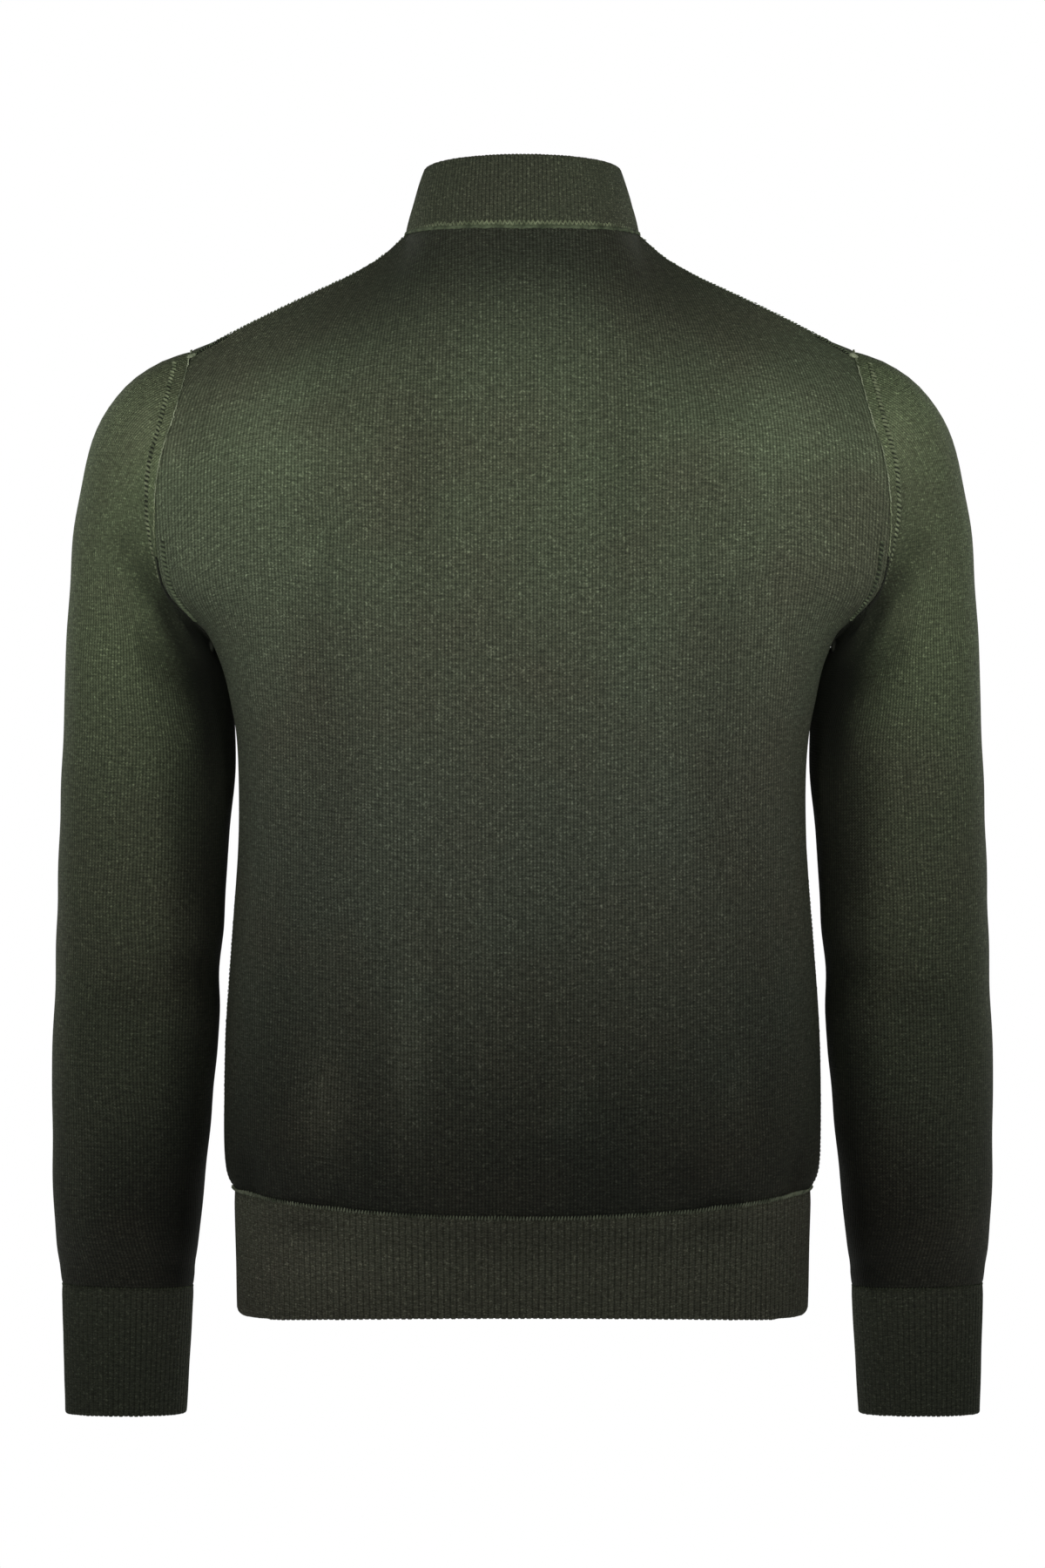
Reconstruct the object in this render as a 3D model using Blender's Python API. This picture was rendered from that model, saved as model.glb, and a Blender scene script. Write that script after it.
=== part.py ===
"""A zip-up cardigan in fine knit, filled out as if worn, with no wearer inside it.

The garment hangs from the shoulders of whoever wears it. The origin is the middle of
the neck opening, level with the points where the shoulder seams meet the collar.
+Z is up, the zip is on the -Y side and the wearer's left is +X. Sizes and tables are
in millimetres, and the meshes are made in metres.

Every piece that is cut and sewn is its own solid: the back, two fronts, two sleeves,
two cuffs, a hem rib in three lengths and the collar, with a zip down the front.
Surfaces are grids of points: rows run up the body or down the arm, columns run so
that the cross product of the column and row directions points out of the garment.
"""

import math

import bmesh
import bpy
import numpy as np
from mathutils import Matrix

MM = 0.001

# Cloth
CLOTH = 2.2  # thickness of the plain knit
COLLAR_CLOTH = 3.0  # the collar is two layers
SEAM_GAP = 0.3  # distance between two pieces at a seam
SEAM_BEVEL = 0.5  # how much further the inner face stays back from a seam
ARMHOLE_BEVEL = 1.8  # the same for a sleeve, which leaves the body at an angle
RIB_HEIGHT = 0.5  # how far a rib stands out of its groove
HEM_RIB_PITCH = 3.8
CUFF_RIB_PITCH = 3.6
COLLAR_RIB_PITCH = 2.6
RIBS_TO_A_COLUMN = 3  # of the plain inside of a ribbed piece

# Fineness of the grids
COLUMNS = 13  # from the centre line to the side seam
NECK_COLUMN = 6  # the column that runs up to the neck end of the shoulder seam
BACK_ROWS = 11  # above the underarm
FRONT_ROWS = 12  # above the underarm, up to the ridge of the shoulder
FINE = 60  # points of a curve before it is divided into columns
EVENING = 5  # rounds of smoothing up and down a panel
EVENING_FADE = 5  # columns next to the edge over which the smoothing fades out

# Front opening
EDGE_X = 4.5  # each front stops this far from the centre line
PLACKET_X = 14.0  # the front is flat out to here, beside the zip

# The edge that the back and a front share runs up the side seam to the underarm.
# The shares are the Bezier handles of each cross-section of the body.
SIDE_ROWS = [
    # edge_x, edge_z, back_y, back_z, front_y, front_z, width share, depth share
    # of the back, depth share of the front
    (174.6, -579.0, 99.5, -593.0, -108.0, -588.0, 0.68, 0.66, 0.66),  # hem seam
    (178.8, -572.0, 106.5, -587.0, -111.0, -580.0, 0.68, 0.66, 0.66),
    (180.8, -559.0, 110.5, -574.0, -113.5, -567.0, 0.68, 0.66, 0.66),  # blouses over the rib
    (181.2, -528.0, 111.5, -541.0, -115.0, -534.0, 0.68, 0.66, 0.66),
    (180.3, -482.0, 108.5, -492.0, -115.5, -487.0, 0.67, 0.66, 0.66),
    (176.4, -425.0, 103.5, -431.0, -116.0, -429.0, 0.66, 0.66, 0.67),  # waist
    (172.6, -375.0, 101.5, -377.0, -117.5, -377.0, 0.66, 0.66, 0.69),
    (171.8, -338.0, 103.0, -335.0, -120.0, -338.0, 0.66, 0.66, 0.71),
    (173.8, -302.0, 106.0, -294.0, -122.0, -300.0, 0.66, 0.66, 0.73),
    (179.6, -271.0, 109.0, -259.0, -123.5, -265.0, 0.65, 0.66, 0.73),
    (189.0, -246.0, 111.0, -231.0, -124.0, -236.0, 0.62, 0.66, 0.69),  # underarm
]
UNDERARM = len(SIDE_ROWS) - 1

# Above the underarm the edge is the armhole. Turn swings the surface's direction at
# the edge from straight fore and aft (0) to straight across (90), rise lifts it, and
# the handles are the Bezier handles at the centre line and at the edge.
BACK_ARMHOLE = [
    # edge_x, edge_y, edge_z, centre_y, centre_z, turn, rise, centre handle, edge handle
    (201.5, 33.0, -233.0, 111.0, -204.0, 12.0, 0.00, 112.0, 52.0),
    (214.5, 54.0, -219.0, 110.0, -176.0, 30.0, 0.02, 112.0, 46.0),
    (220.0, 64.0, -193.0, 108.0, -148.0, 46.0, 0.05, 110.0, 50.0),
    (220.4, 65.0, -164.0, 104.5, -119.0, 57.0, 0.10, 106.0, 56.0),
    (217.0, 60.0, -137.0, 98.5, -90.0, 66.0, 0.18, 100.0, 62.0),
    (209.4, 47.0, -111.0, 89.0, -60.0, 74.0, 0.30, 92.0, 64.0),
    (204.6, 31.0, -90.0, 74.5, -31.5, 82.0, 0.42, 80.0, 64.0),
    (201.5, 13.0, -75.0, 54.0, 0.5, 92.0, 0.52, 66.0, 64.0),
]
FRONT_ARMHOLE = [
    (197.0, -27.0, -237.0, -124.0, -218.0, 14.0, 0.00, 98.0, 50.0),
    (203.0, -45.0, -223.0, -123.5, -201.0, 33.0, 0.02, 95.0, 44.0),
    (205.5, -54.5, -198.0, -121.5, -183.0, 51.0, 0.05, 92.0, 46.0),
    (205.0, -56.0, -170.0, -118.0, -165.0, 61.0, 0.10, 90.0, 54.0),
    (204.0, -52.0, -142.0, -113.0, -146.0, 69.0, 0.18, 88.0, 62.0),
    (202.0, -41.0, -114.0, -106.5, -127.0, 76.0, 0.30, 80.0, 64.0),
    (201.2, -24.0, -88.0, -98.0, -108.0, 82.0, 0.40, 72.0, 64.0),
    (201.2, -5.0, -71.0, -87.5, -89.0, 88.0, 0.48, 64.0, 62.0),  # ridge of the shoulder
    (201.5, 13.0, -75.0, -76.0, -71.0, 92.0, 0.52, 56.0, 60.0),
]

# The shoulder seam starts on the ridge at the neck and drops behind it at the armhole.
SHOULDER_SEAM = [
    # x, y, z
    (70.0, 0.0, 0.0),
    (78.5, 0.3, -8.6),
    (90.0, 0.8, -17.0),
    (108.7, 2.0, -27.4),
    (131.0, 4.2, -37.8),
    (153.0, 7.0, -48.6),
    (177.0, 10.4, -61.0),
    (201.5, 13.0, -75.0),
]
BACK_NECK = [
    (0.0, 54.0, 0.5),
    (22.0, 52.0, 0.6),
    (44.0, 42.5, 0.7),
    (61.0, 24.0, 0.6),
    (70.0, 0.0, 0.0),
]
FRONT_NECK = [
    (PLACKET_X, -76.0, -71.0),
    (26.0, -73.0, -67.0),
    (40.0, -65.0, -57.0),
    (56.0, -49.0, -37.0),
    (67.0, -25.0, -14.0),
    (70.0, 0.0, 0.0),
]
YOKE_START = 12  # the table row where the cross-sections begin to turn to the neckline
YOKE_POWER = 1.5
CORNER_POWER = 7.0  # how quickly the corner at the neck fades out below it
CORNER_SPREAD = 5  # columns over which the corner is spread

# Sleeve rings after the armhole. Each is a slanting oval between an outer and an inner
# point, half_depth fore and aft of them. Form is how much of the armhole's own shape
# is left, and square is 2 for an ellipse and more for a flatter inner side.
SLEEVE_RINGS = [
    # outer x, y, z, inner x, y, z, half_depth, form, square
    (201.2, -2.0, -71.0, 189.0, 0.0, -246.0, 64.0, 1.00, 2.7),
    (221.2, 0.0, -78.6, 188.8, -5.0, -249.0, 64.0, 0.86, 2.6),
    (239.6, 0.0, -91.4, 186.2, -12.0, -254.0, 63.5, 0.68, 2.5),
    (254.4, 0.0, -111.0, 182.6, -20.0, -260.5, 63.0, 0.50, 2.4),
    (263.8, -1.0, -135.0, 181.4, -28.0, -268.5, 62.0, 0.34, 2.3),
    (270.4, -2.0, -167.0, 179.6, -34.0, -278.5, 61.0, 0.20, 2.2),
    (274.4, -3.0, -206.0, 177.2, -36.0, -291.0, 60.0, 0.10, 2.2),
    (277.0, -4.0, -253.0, 176.0, -34.0, -309.0, 59.0, 0.03, 2.2),
    (279.4, -6.0, -311.0, 176.6, -28.0, -338.0, 58.0, 0.00, 2.3),
    (282.4, -9.0, -376.0, 179.8, -21.0, -392.0, 56.5, 0.00, 2.3),
    (285.2, -13.0, -441.0, 183.2, -18.0, -452.0, 54.5, 0.00, 2.3),
    (286.6, -18.0, -506.0, 187.4, -18.0, -512.0, 52.0, 0.00, 2.2),
    (286.2, -23.0, -566.0, 192.8, -23.0, -569.0, 48.0, 0.00, 2.1),
    (284.6, -27.0, -616.0, 198.0, -27.0, -618.0, 44.0, 0.00, 2.1),
    (281.0, -29.0, -639.0, 201.2, -29.0, -640.5, 40.0, 0.00, 2.1),
]
CUFF_END = (279.2, -35.0, -716.8, 205.8, -35.0, -716.8, 35.5, 0.00, 2.1)
OUTER_SQUARE = 2.05

# The bottom edge of the hem rib, in the columns of SIDE_ROWS
HEM_END = (172.6, -655.5, 97.0, -651.0, -106.0, -656.0, 0.69, 0.68, 0.68)

# Collar levels above the neck seam. Each is a ring through the centre back, a side
# point and the centre front; inward takes the last levels in to round the top edge.
COLLAR_ROWS = [
    # side_x, side_y, side_z, back_y, back_z, front_y, front_z, inward
    (63.8, -5.0, 20.0, 53.6, 22.0, -70.4, -44.0, 0.0),
    (59.4, -7.0, 37.4, 51.4, 43.0, -65.4, -20.0, 0.0),
    (59.2, -7.0, 38.6, 51.2, 44.3, -65.1, -18.7, 0.8),
]
COLLAR_HANDLE = 0.56
COLLAR_SLOPE = 0.16  # fall of a level towards the front, where it passes the side

# Large soft folds: ridges are positive and troughs negative
BACK_FOLDS = [
    # top x, top z, bottom x, bottom z, half width, height
    (88.0, -245.0, 140.0, -385.0, 13.0, -2.4),
    (66.0, -250.0, 108.0, -400.0, 15.0, 2.0),
    (-88.0, -245.0, -132.0, -375.0, 13.0, -2.2),
    (-66.0, -255.0, -104.0, -390.0, 15.0, 1.8),
    (72.0, -420.0, 66.0, -565.0, 16.0, 2.4),
    (-38.0, -450.0, -60.0, -570.0, 18.0, -2.0),
    (120.0, -470.0, 150.0, -575.0, 15.0, 2.2),
    (-112.0, -480.0, -146.0, -575.0, 15.0, 2.2),
]
FRONT_FOLDS = [
    (150.0, -235.0, 112.0, -340.0, 15.0, -2.2),
    (124.0, -430.0, 116.0, -570.0, 16.0, 2.0),
    (80.0, -450.0, 74.0, -575.0, 14.0, -2.0),
]
SLEEVE_FOLDS = [
    # ring at the underarm, ring fore and aft, place round, half rings, half round, height
    # The place round is 0 at the outer side, 0.25 in front, 0.5 inside and 0.75 behind.
    (3.2, 1.6, 0.34, 0.90, 0.16, -2.0),
    (3.2, 1.6, 0.66, 0.90, 0.16, -2.4),
    (9.4, 10.0, 0.50, 0.45, 0.16, -2.2),
    (10.4, 10.0, 0.50, 0.45, 0.13, -1.8),
    (10.0, 10.0, 0.92, 0.60, 0.12, -1.5),
]

# Zip, with depths measured inwards from the outer face of the fronts
TAPE_X = (1.3, 12.8)
TAPE_THICKNESS = 0.9
TAPE_GAP = 0.3
CHAIN_HALF = 2.9
CHAIN_PROUD = 0.2
BOX_HALF = 4.1
BOX_LENGTH = 8.0
BOX_PROUD = 1.6
STOP_SIZE = (2.0, 2.6)  # width and length
STOP_X = 2.7
STOP_DEPTH = 0.6

# Slider, bail and pull tab
SLIDER_DROP = 6.0  # from the top of the zip down to the top of the slider
SLIDER_LENGTH = 12.0
SLIDER_TOP_HALF = 4.1
SLIDER_END_HALF = 3.3
SLIDER_CORNER = 1.2
SLIDER_PLATE = 1.3
SLIDER_CLEAR = 0.3
SLIDER_POST = (0.9, 4.0)  # half width and length of the post between the plates
BAIL_LENGTH = 6.6
BAIL_BAR = 1.1
BAIL_WINDOW = 2.2
BAIL_HALF = 0.9
BAIL_CORNER = 0.9
PULL_BAR = 1.1
PULL_WINDOW = (1.4, 6.0)  # half width and length of the hole round the bail
PULL_HALF = 3.1
PULL_LENGTH = 27.0
PULL_THICKNESS = 1.2
PULL_CORNER = 1.5
PULL_LIFT = 0.3  # the pull lies this far off the zip or the collar seam
ARC_STEPS = 4  # to a rounded corner
JOIN = 0.2  # how far shapes that are joined run into each other

COLOURS = {
    # name: red, green, blue, roughness, metallic
    "knit": (0.050, 0.064, 0.038, 0.95, 0.0),
    "rib": (0.040, 0.050, 0.031, 0.95, 0.0),
    "tape": (0.030, 0.036, 0.026, 0.90, 0.0),
    "metal": (0.220, 0.210, 0.190, 0.35, 1.0),
}


def smooth_rows(table, at):
    """Rows of a table read at fractional row numbers, on a smooth curve through them."""
    rows = np.asarray(table, float)
    at = np.clip(np.asarray(at, float), 0, len(rows) - 1)
    low = np.minimum(at.astype(int), len(rows) - 2)
    t = (at - low)[:, None]
    slope = np.gradient(rows, axis=0)
    rising = (3 - 2 * t) * t**2
    return (
        (1 - rising) * rows[low]
        + rising * rows[low + 1]
        + t * (1 - t) ** 2 * slope[low]
        - t**2 * (1 - t) * slope[low + 1]
    )


def spread(points, shares):
    """The points of a polyline at these shares of its length."""
    points = np.asarray(points, float)
    steps = np.linalg.norm(np.diff(points, axis=0), axis=1)
    length = np.concatenate([[0], np.cumsum(steps)])
    wanted = np.asarray(shares, float) * length[-1]
    return np.stack([np.interp(wanted, length, points[:, k]) for k in range(3)], axis=1)


def bezier(start, start_handle, end_handle, end):
    """A cubic Bezier curve as a fine polyline, with its handles given as offsets."""
    t = np.linspace(0, 1, FINE)[:, None]
    second, third = start + start_handle, end + end_handle
    return (1 - t) ** 3 * start + 3 * t * (1 - t) ** 2 * second + 3 * t**2 * (1 - t) * third + t**3 * end


def unit(vectors):
    return vectors / np.maximum(np.linalg.norm(vectors, axis=-1, keepdims=True), 1e-9)


def section_rows(side):
    """The back's rows (side 1) or a front's rows (side -1) as one table in the columns
    of the armhole tables."""
    rows = [side_row(row, side) for row in SIDE_ROWS]
    return np.array(rows + (BACK_ARMHOLE if side > 0 else FRONT_ARMHOLE), float)


def side_row(row, side):
    """A row of SIDE_ROWS turned into the columns of the armhole tables."""
    edge_x, edge_z, back_y, back_z, front_y, front_z, width, back_depth, front_depth = row
    if side > 0:
        centre_y, centre_z, depth, start = back_y, back_z, back_depth, 0.0
    else:
        centre_y, centre_z, depth, start = front_y, front_z, front_depth, PLACKET_X
    handles = (width * (edge_x - start), depth * abs(centre_y))
    return (edge_x, 0.0, edge_z, centre_y, centre_z, 0.0, 0.0) + handles


def divided(curve, side, columns):
    """A curve from the centre line divided evenly into columns. On a front the first
    column is the flat strip beside the zip, and the curve starts behind it."""
    if side > 0:
        return spread(curve, np.linspace(0, 1, columns + 1))
    return np.concatenate([[[EDGE_X, *curve[0, 1:]]], spread(curve, np.linspace(0, 1, columns))])


def cross_section(row, side, columns):
    """One cross-section of the body from its centre line to its edge: a Bezier curve."""
    edge_x, edge_y, edge_z, centre_y, centre_z, turn, rise, centre_handle, reach = row
    centre = np.array([0.0 if side > 0 else PLACKET_X, centre_y, centre_z])
    angle = math.radians(turn)
    inward = unit(np.array([-math.sin(angle), side * math.cos(angle), rise]))
    edge = np.array([edge_x, edge_y, edge_z])
    curve = bezier(centre, np.array([centre_handle, 0, 0]), reach * inward, edge)
    return divided(curve, side, columns)


def top_edge(side):
    """Neckline and shoulder seam as one edge, with their corner on its own column."""
    table = BACK_NECK if side > 0 else FRONT_NECK
    neck = smooth_rows(table, np.linspace(0, len(table) - 1, FINE))
    shoulder = smooth_rows(SHOULDER_SEAM, np.linspace(0, len(SHOULDER_SEAM) - 1, FINE))
    shoulder = spread(shoulder, np.linspace(0, 1, COLUMNS - NECK_COLUMN + 1))
    return np.concatenate([divided(neck, side, NECK_COLUMN), shoulder[1:]])


def spread_out(offsets, width):
    """Offsets along an edge with their corners softened over this many columns. Both
    ends keep their value."""
    soft = offsets.copy()
    for _ in range(width):
        soft[1:-1] = (soft[:-2] + 2 * soft[1:-1] + soft[2:]) / 4
        soft[0] = (soft[0] + soft[1]) / 2
    soft[-1] = offsets[-1]
    return soft


def row_numbers(side):
    """The table's row numbers at the rows of the grid."""
    below = np.arange(UNDERARM, dtype=float)
    if side > 0:
        return np.concatenate([below, np.linspace(UNDERARM, UNDERARM + len(BACK_ARMHOLE), BACK_ROWS + 1)])
    ridge = UNDERARM + len(FRONT_ARMHOLE) - 1
    return np.concatenate([below, np.linspace(UNDERARM, ridge, FRONT_ROWS + 1), [ridge + 1]])


def fold_height(points, folds):
    """Height of the folds at each point. A fold is a soft ridge along a line seen from
    the front, which fades out towards both of its ends."""
    height = np.zeros(points.shape[:-1])
    for top_x, top_z, bottom_x, bottom_z, half_width, size in folds:
        start = np.array([top_x, top_z])
        line = np.array([bottom_x, bottom_z]) - start
        from_start = points[..., [0, 2]] - start
        along = (from_start @ line) / (line @ line)
        off = (from_start @ np.array([-line[1], line[0]])) / np.linalg.norm(line)
        fade = np.clip(np.minimum(along + 0.15, 1.15 - along) / 0.45, 0, 1)
        height += size * np.exp(-((off / half_width) ** 2)) * fade * fade * (3 - 2 * fade)
    return height


def normals_of(grid, closed=False):
    """Outward unit normals of a grid. A closed grid's columns run all the way round."""
    if closed:
        wide = np.concatenate([grid[:, -1:], grid, grid[:, :1]], axis=1)
        across = wide[:, 2:] - wide[:, :-2]
    else:
        across = np.gradient(grid, axis=1)
    return unit(np.cross(across, np.gradient(grid, axis=0)))


def relaxed(grid, rounds):
    """A panel with its points evened out along its columns. The bottom row, the top row
    and the outer edge stay where they are, and the last columns move less."""
    share = np.clip(np.arange(COLUMNS, -1, -1) / EVENING_FADE, 0, 1)[:, None]
    made = grid.copy()
    for _ in range(rounds):
        made[1:-1] += share * (made[:-2] - 2 * made[1:-1] + made[2:]) / 4
    return made


def panel(side):
    """Outer surface of the back (all of it, from left to right) or of the left front
    (from the zip to the edge), with rows from the hem seam to the shoulder."""
    table = section_rows(side)
    sections = np.stack([cross_section(row, side, COLUMNS) for row in table])
    last = len(table) - 1
    to_top = top_edge(side) - sections[last]
    soft = spread_out(to_top, CORNER_SPREAD)
    rise = np.clip((np.arange(last + 1) - YOKE_START) / (last - YOKE_START), 0, 1)[:, None, None]
    sections += rise**YOKE_POWER * soft + rise**CORNER_POWER * (to_top - soft)
    numbers = row_numbers(side)
    grid = np.stack([smooth_rows(sections[:, k], numbers) for k in range(COLUMNS + 1)], axis=1)
    grid = relaxed(grid, EVENING)
    if side > 0:
        grid = np.concatenate([grid[:, ::-1], mirrored(grid)[:, ::-1][:, 1:]], axis=1)
    height = fold_height(grid, BACK_FOLDS if side > 0 else FRONT_FOLDS)
    height[0] = 0
    return grid + height[..., None] * normals_of(grid)


def mirrored(grid):
    """The same grid on the other side of the body, with its columns turned round so
    that its normals still point out."""
    return grid[:, ::-1] * np.array([-1.0, 1.0, 1.0])


def oval(ring, shares):
    """A sleeve ring from its outer point round the front to its inner point, and on
    round the back to just before the outer point again: a superellipse that is squarer
    on the inner half. The shares divide the front half and the back half."""
    outer, inner = np.array(ring[0:3]), np.array(ring[3:6])
    half_depth, square = ring[6], ring[8]
    angle = np.linspace(0, math.pi, 2 * FINE)
    power = 2 / np.where(np.cos(angle) > 0, OUTER_SQUARE, square)
    across = np.sign(np.cos(angle)) * np.abs(np.cos(angle)) ** power
    depth = half_depth * np.sin(angle) ** power
    middle = (outer + inner) / 2 + across[:, None] * (outer - inner) / 2
    front = spread(middle - depth[:, None] * [0, 1, 0], shares[0])
    back = spread(middle + depth[:, None] * [0, 1, 0], shares[1])
    return np.concatenate([front, back[::-1][1:-1]])


def armhole(back, front):
    """The armhole as two lines from the ridge of the shoulder to the underarm, down the
    front and down the back. They are the panels' own edge points."""
    down_front = front[UNDERARM:-1, -1][::-1]
    down_back = np.concatenate([front[-2:, -1], back[UNDERARM:-1, 0][::-1]])
    return down_front, down_back


def shares_of(line):
    """The share of a polyline's length at each of its points."""
    length = np.concatenate([[0], np.cumsum(np.linalg.norm(np.diff(line, axis=0), axis=1))])
    return length / length[-1]


def sleeve(back, front):
    """Outer surface of the left sleeve as rings from the armhole to the cuff seam, with
    the shares that divide its rings. The armhole's form fades out over a few rings."""
    down_front, down_back = armhole(back, front)
    shares = (shares_of(down_front), shares_of(down_back))
    loop = np.concatenate([down_front, down_back[::-1][1:-1]])
    rings = np.stack([oval(ring, shares) for ring in SLEEVE_RINGS])
    form = np.array([ring[7] for ring in SLEEVE_RINGS])[:, None, None]
    rings = rings + form * (loop - rings[0])
    around = np.concatenate([0.5 * shares[0], 1 - 0.5 * shares[1][::-1][1:-1]])
    number = np.arange(len(rings))[:, None]
    height = np.zeros(rings.shape[:2])
    for at_inner, at_sides, place, half_rings, half_round, size in SLEEVE_FOLDS:
        middle = at_inner + (at_sides - at_inner) * np.clip(np.abs(around - 0.5) / 0.25, 0, 1)
        turn = np.abs(around - place)
        turn = np.minimum(turn, 1 - turn)
        height += size * np.exp(-(((number - middle) / half_rings) ** 2) - (turn / half_round) ** 2)
    height[[0, -1]] = 0
    return rings + height[..., None] * normals_of(rings, closed=True), shares


def collar_level(row):
    """The left half of one level of the collar as two lines: Bezier quarters from the
    centre front to the side and on to the centre back."""
    side_x, side_y, side_z, back_y, back_z, front_y, front_z, inward = row
    side = np.array([side_x - inward, side_y, side_z])
    centre_back = np.array([0, back_y - inward, back_z])
    centre_front = np.array([PLACKET_X, front_y + inward, front_z])
    forward = COLLAR_HANDLE * np.array([0, -1, -COLLAR_SLOPE])
    across = COLLAR_HANDLE * np.array([1, 0, 0])
    front = bezier(centre_front, (side_x - PLACKET_X) * across, (side_y - front_y) * forward, side)
    back = bezier(side, -(back_y - side_y) * forward, side_x * across, centre_back)
    return np.concatenate([[[EDGE_X, *centre_front[1:]]], front]), back


def pull_in(edge, neighbour, distance):
    """Edge points moved towards their neighbours by a distance."""
    return edge + distance * unit(neighbour - edge)


def held_back(grid, distance, sides):
    """A grid with the named edges moved in along the surface. The sides are those at
    the first row, the last row, the first column and the last column."""
    made = grid.copy()
    if sides[0]:
        made[0] = pull_in(grid[0], grid[1], distance)
    if sides[1]:
        made[-1] = pull_in(grid[-1], grid[-2], distance)
    if sides[2]:
        made[:, 0] = pull_in(made[:, 0], made[:, 1], distance)
    if sides[3]:
        made[:, -1] = pull_in(made[:, -1], made[:, -2], distance)
    return made


def bridge(first, second, closed):
    """Triangles between two lines of vertex numbers that may differ in length, taking
    whichever line is behind at each step."""
    a = list(first) + ([first[0]] if closed else [])
    b = list(second) + ([second[0]] if closed else [])
    i = j = 0
    faces = []
    while i < len(a) - 1 or j < len(b) - 1:
        first_is_ahead = (i + 0.5) * (len(b) - 1) > (j + 0.5) * (len(a) - 1)
        if i == len(a) - 1 or (first_is_ahead and j < len(b) - 1):
            faces.append((a[i], b[j + 1], b[j]))
            j += 1
        else:
            faces.append((a[i], a[i + 1], b[j]))
            i += 1
    return faces


def wall(name, outer, inner, colour, closed=False):
    """A closed solid between an outer and an inner grid with the same number of rows.
    A closed wall runs round as a tube."""
    rows, wide = outer.shape[:2]
    narrow = inner.shape[1]
    out = np.arange(rows * wide).reshape(rows, wide)
    ins = np.arange(rows * narrow).reshape(rows, narrow) + rows * wide
    faces = []
    for grid, turned in ((out, False), (ins, True)):
        count = grid.shape[1]
        for r in range(rows - 1):
            for c in range(count if closed else count - 1):
                d = (c + 1) % count
                quad = (grid[r, c], grid[r, d], grid[r + 1, d], grid[r + 1, c])
                faces.append(quad[::-1] if turned else quad)
    faces += [face[::-1] for face in bridge(out[0], ins[0], closed)]
    faces += bridge(out[-1], ins[-1], closed)
    if not closed:
        for r in range(rows - 1):
            faces.append((out[r, 0], out[r + 1, 0], ins[r + 1, 0], ins[r, 0]))
            faces.append((out[r, -1], ins[r, -1], ins[r + 1, -1], out[r + 1, -1]))
    points = np.concatenate([outer.reshape(-1, 3), inner.reshape(-1, 3)])
    return add_piece(name, points, faces, colour)


def add_piece(name, points, faces, colour):
    """A named object from points in millimetres and faces, shaded smooth."""
    mesh = bpy.data.meshes.new(name)
    mesh.from_pydata((points * MM).tolist(), [], [[int(i) for i in face] for face in faces])
    work = bmesh.new()
    work.from_mesh(mesh)
    bmesh.ops.triangulate(work, faces=work.faces[:])
    bmesh.ops.recalc_face_normals(work, faces=work.faces[:])
    work.to_mesh(mesh)
    work.free()
    mesh.shade_smooth()
    mesh.set_sharp_from_angle(angle=math.radians(40))
    return add_object(name, mesh, PIECES, colour)


def add_object(name, mesh, collection, colour):
    made = bpy.data.objects.new(name, mesh)
    mesh.materials.append(MATERIALS[colour])
    collection.objects.link(made)
    return made


def plain_wall(name, grid, normals, sides, colour):
    """A wall of plain knit: its edges stand half a seam gap back, and the edges of its
    inner face a bevel further."""
    outer = held_back(grid, SEAM_GAP / 2, sides)
    inner = held_back(grid - CLOTH * normals, SEAM_GAP / 2 + SEAM_BEVEL, (True, True, sides[2], sides[3]))
    return wall(name, outer, inner, colour)


def rib_columns(lines, pitch, closed=False):
    """A grid with two columns to a rib between lines, which divide evenly by length."""
    paths = [np.concatenate([line, line[:1]]) if closed else line for line in lines]
    count = 2 * round(length_of(paths[0]) / pitch)
    grid = np.stack([spread(path, np.linspace(0, 1, count + 1)) for path in paths])
    return grid[:, :-1] if closed else grid


def length_of(line):
    return np.linalg.norm(np.diff(line, axis=0), axis=1).sum()


def ribbed_wall(name, plain, normals, thickness, seams, closed=False):
    """A wall with raised ribs outside and a plain inside, from its plain outer surface
    with two columns to a rib. The seams are edges, as in held_back."""
    raised = RIB_HEIGHT * (np.arange(plain.shape[1]) % 2)[None, :, None]
    outer = held_back(plain + raised * normals, SEAM_GAP / 2, seams)
    inside = plain - thickness * normals
    columns = list(range(0, plain.shape[1], 2 * RIBS_TO_A_COLUMN))
    if not closed and columns[-1] != plain.shape[1] - 1:
        columns.append(plain.shape[1] - 1)
    inner = held_back(inside[:, columns], SEAM_GAP / 2 + SEAM_BEVEL, seams)
    return wall(name, outer, inner, "rib", closed)


def shared_normals(back, front):
    """Normals of the back and of the left front, which agree along the side seam and
    the shoulder seam so that the walls meet there squarely."""
    of_back, of_front = normals_of(back), normals_of(front)
    side = slice(0, UNDERARM + 1)
    meet = unit(of_back[side, 0] + of_front[side, -1])
    of_back[side, 0] = meet
    of_front[side, -1] = meet
    shoulder = unit(of_back[-1, : COLUMNS - NECK_COLUMN + 1][::-1] + of_front[-1, NECK_COLUMN:])
    of_back[-1, : COLUMNS - NECK_COLUMN + 1] = shoulder[::-1]
    of_front[-1, NECK_COLUMN:] = shoulder
    right = slice(COLUMNS + 1, None)
    of_back[:, right] = mirrored(of_back)[:, right]
    return of_back, of_front


def make_body(back, front, of_back, of_front):
    plain_wall("back", back, of_back, (True, True, True, True), "knit")
    plain_wall("front_left", front, of_front, (True, True, False, True), "knit")
    plain_wall("front_right", mirrored(front), mirrored(of_front), (True, True, True, False), "knit")


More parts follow.
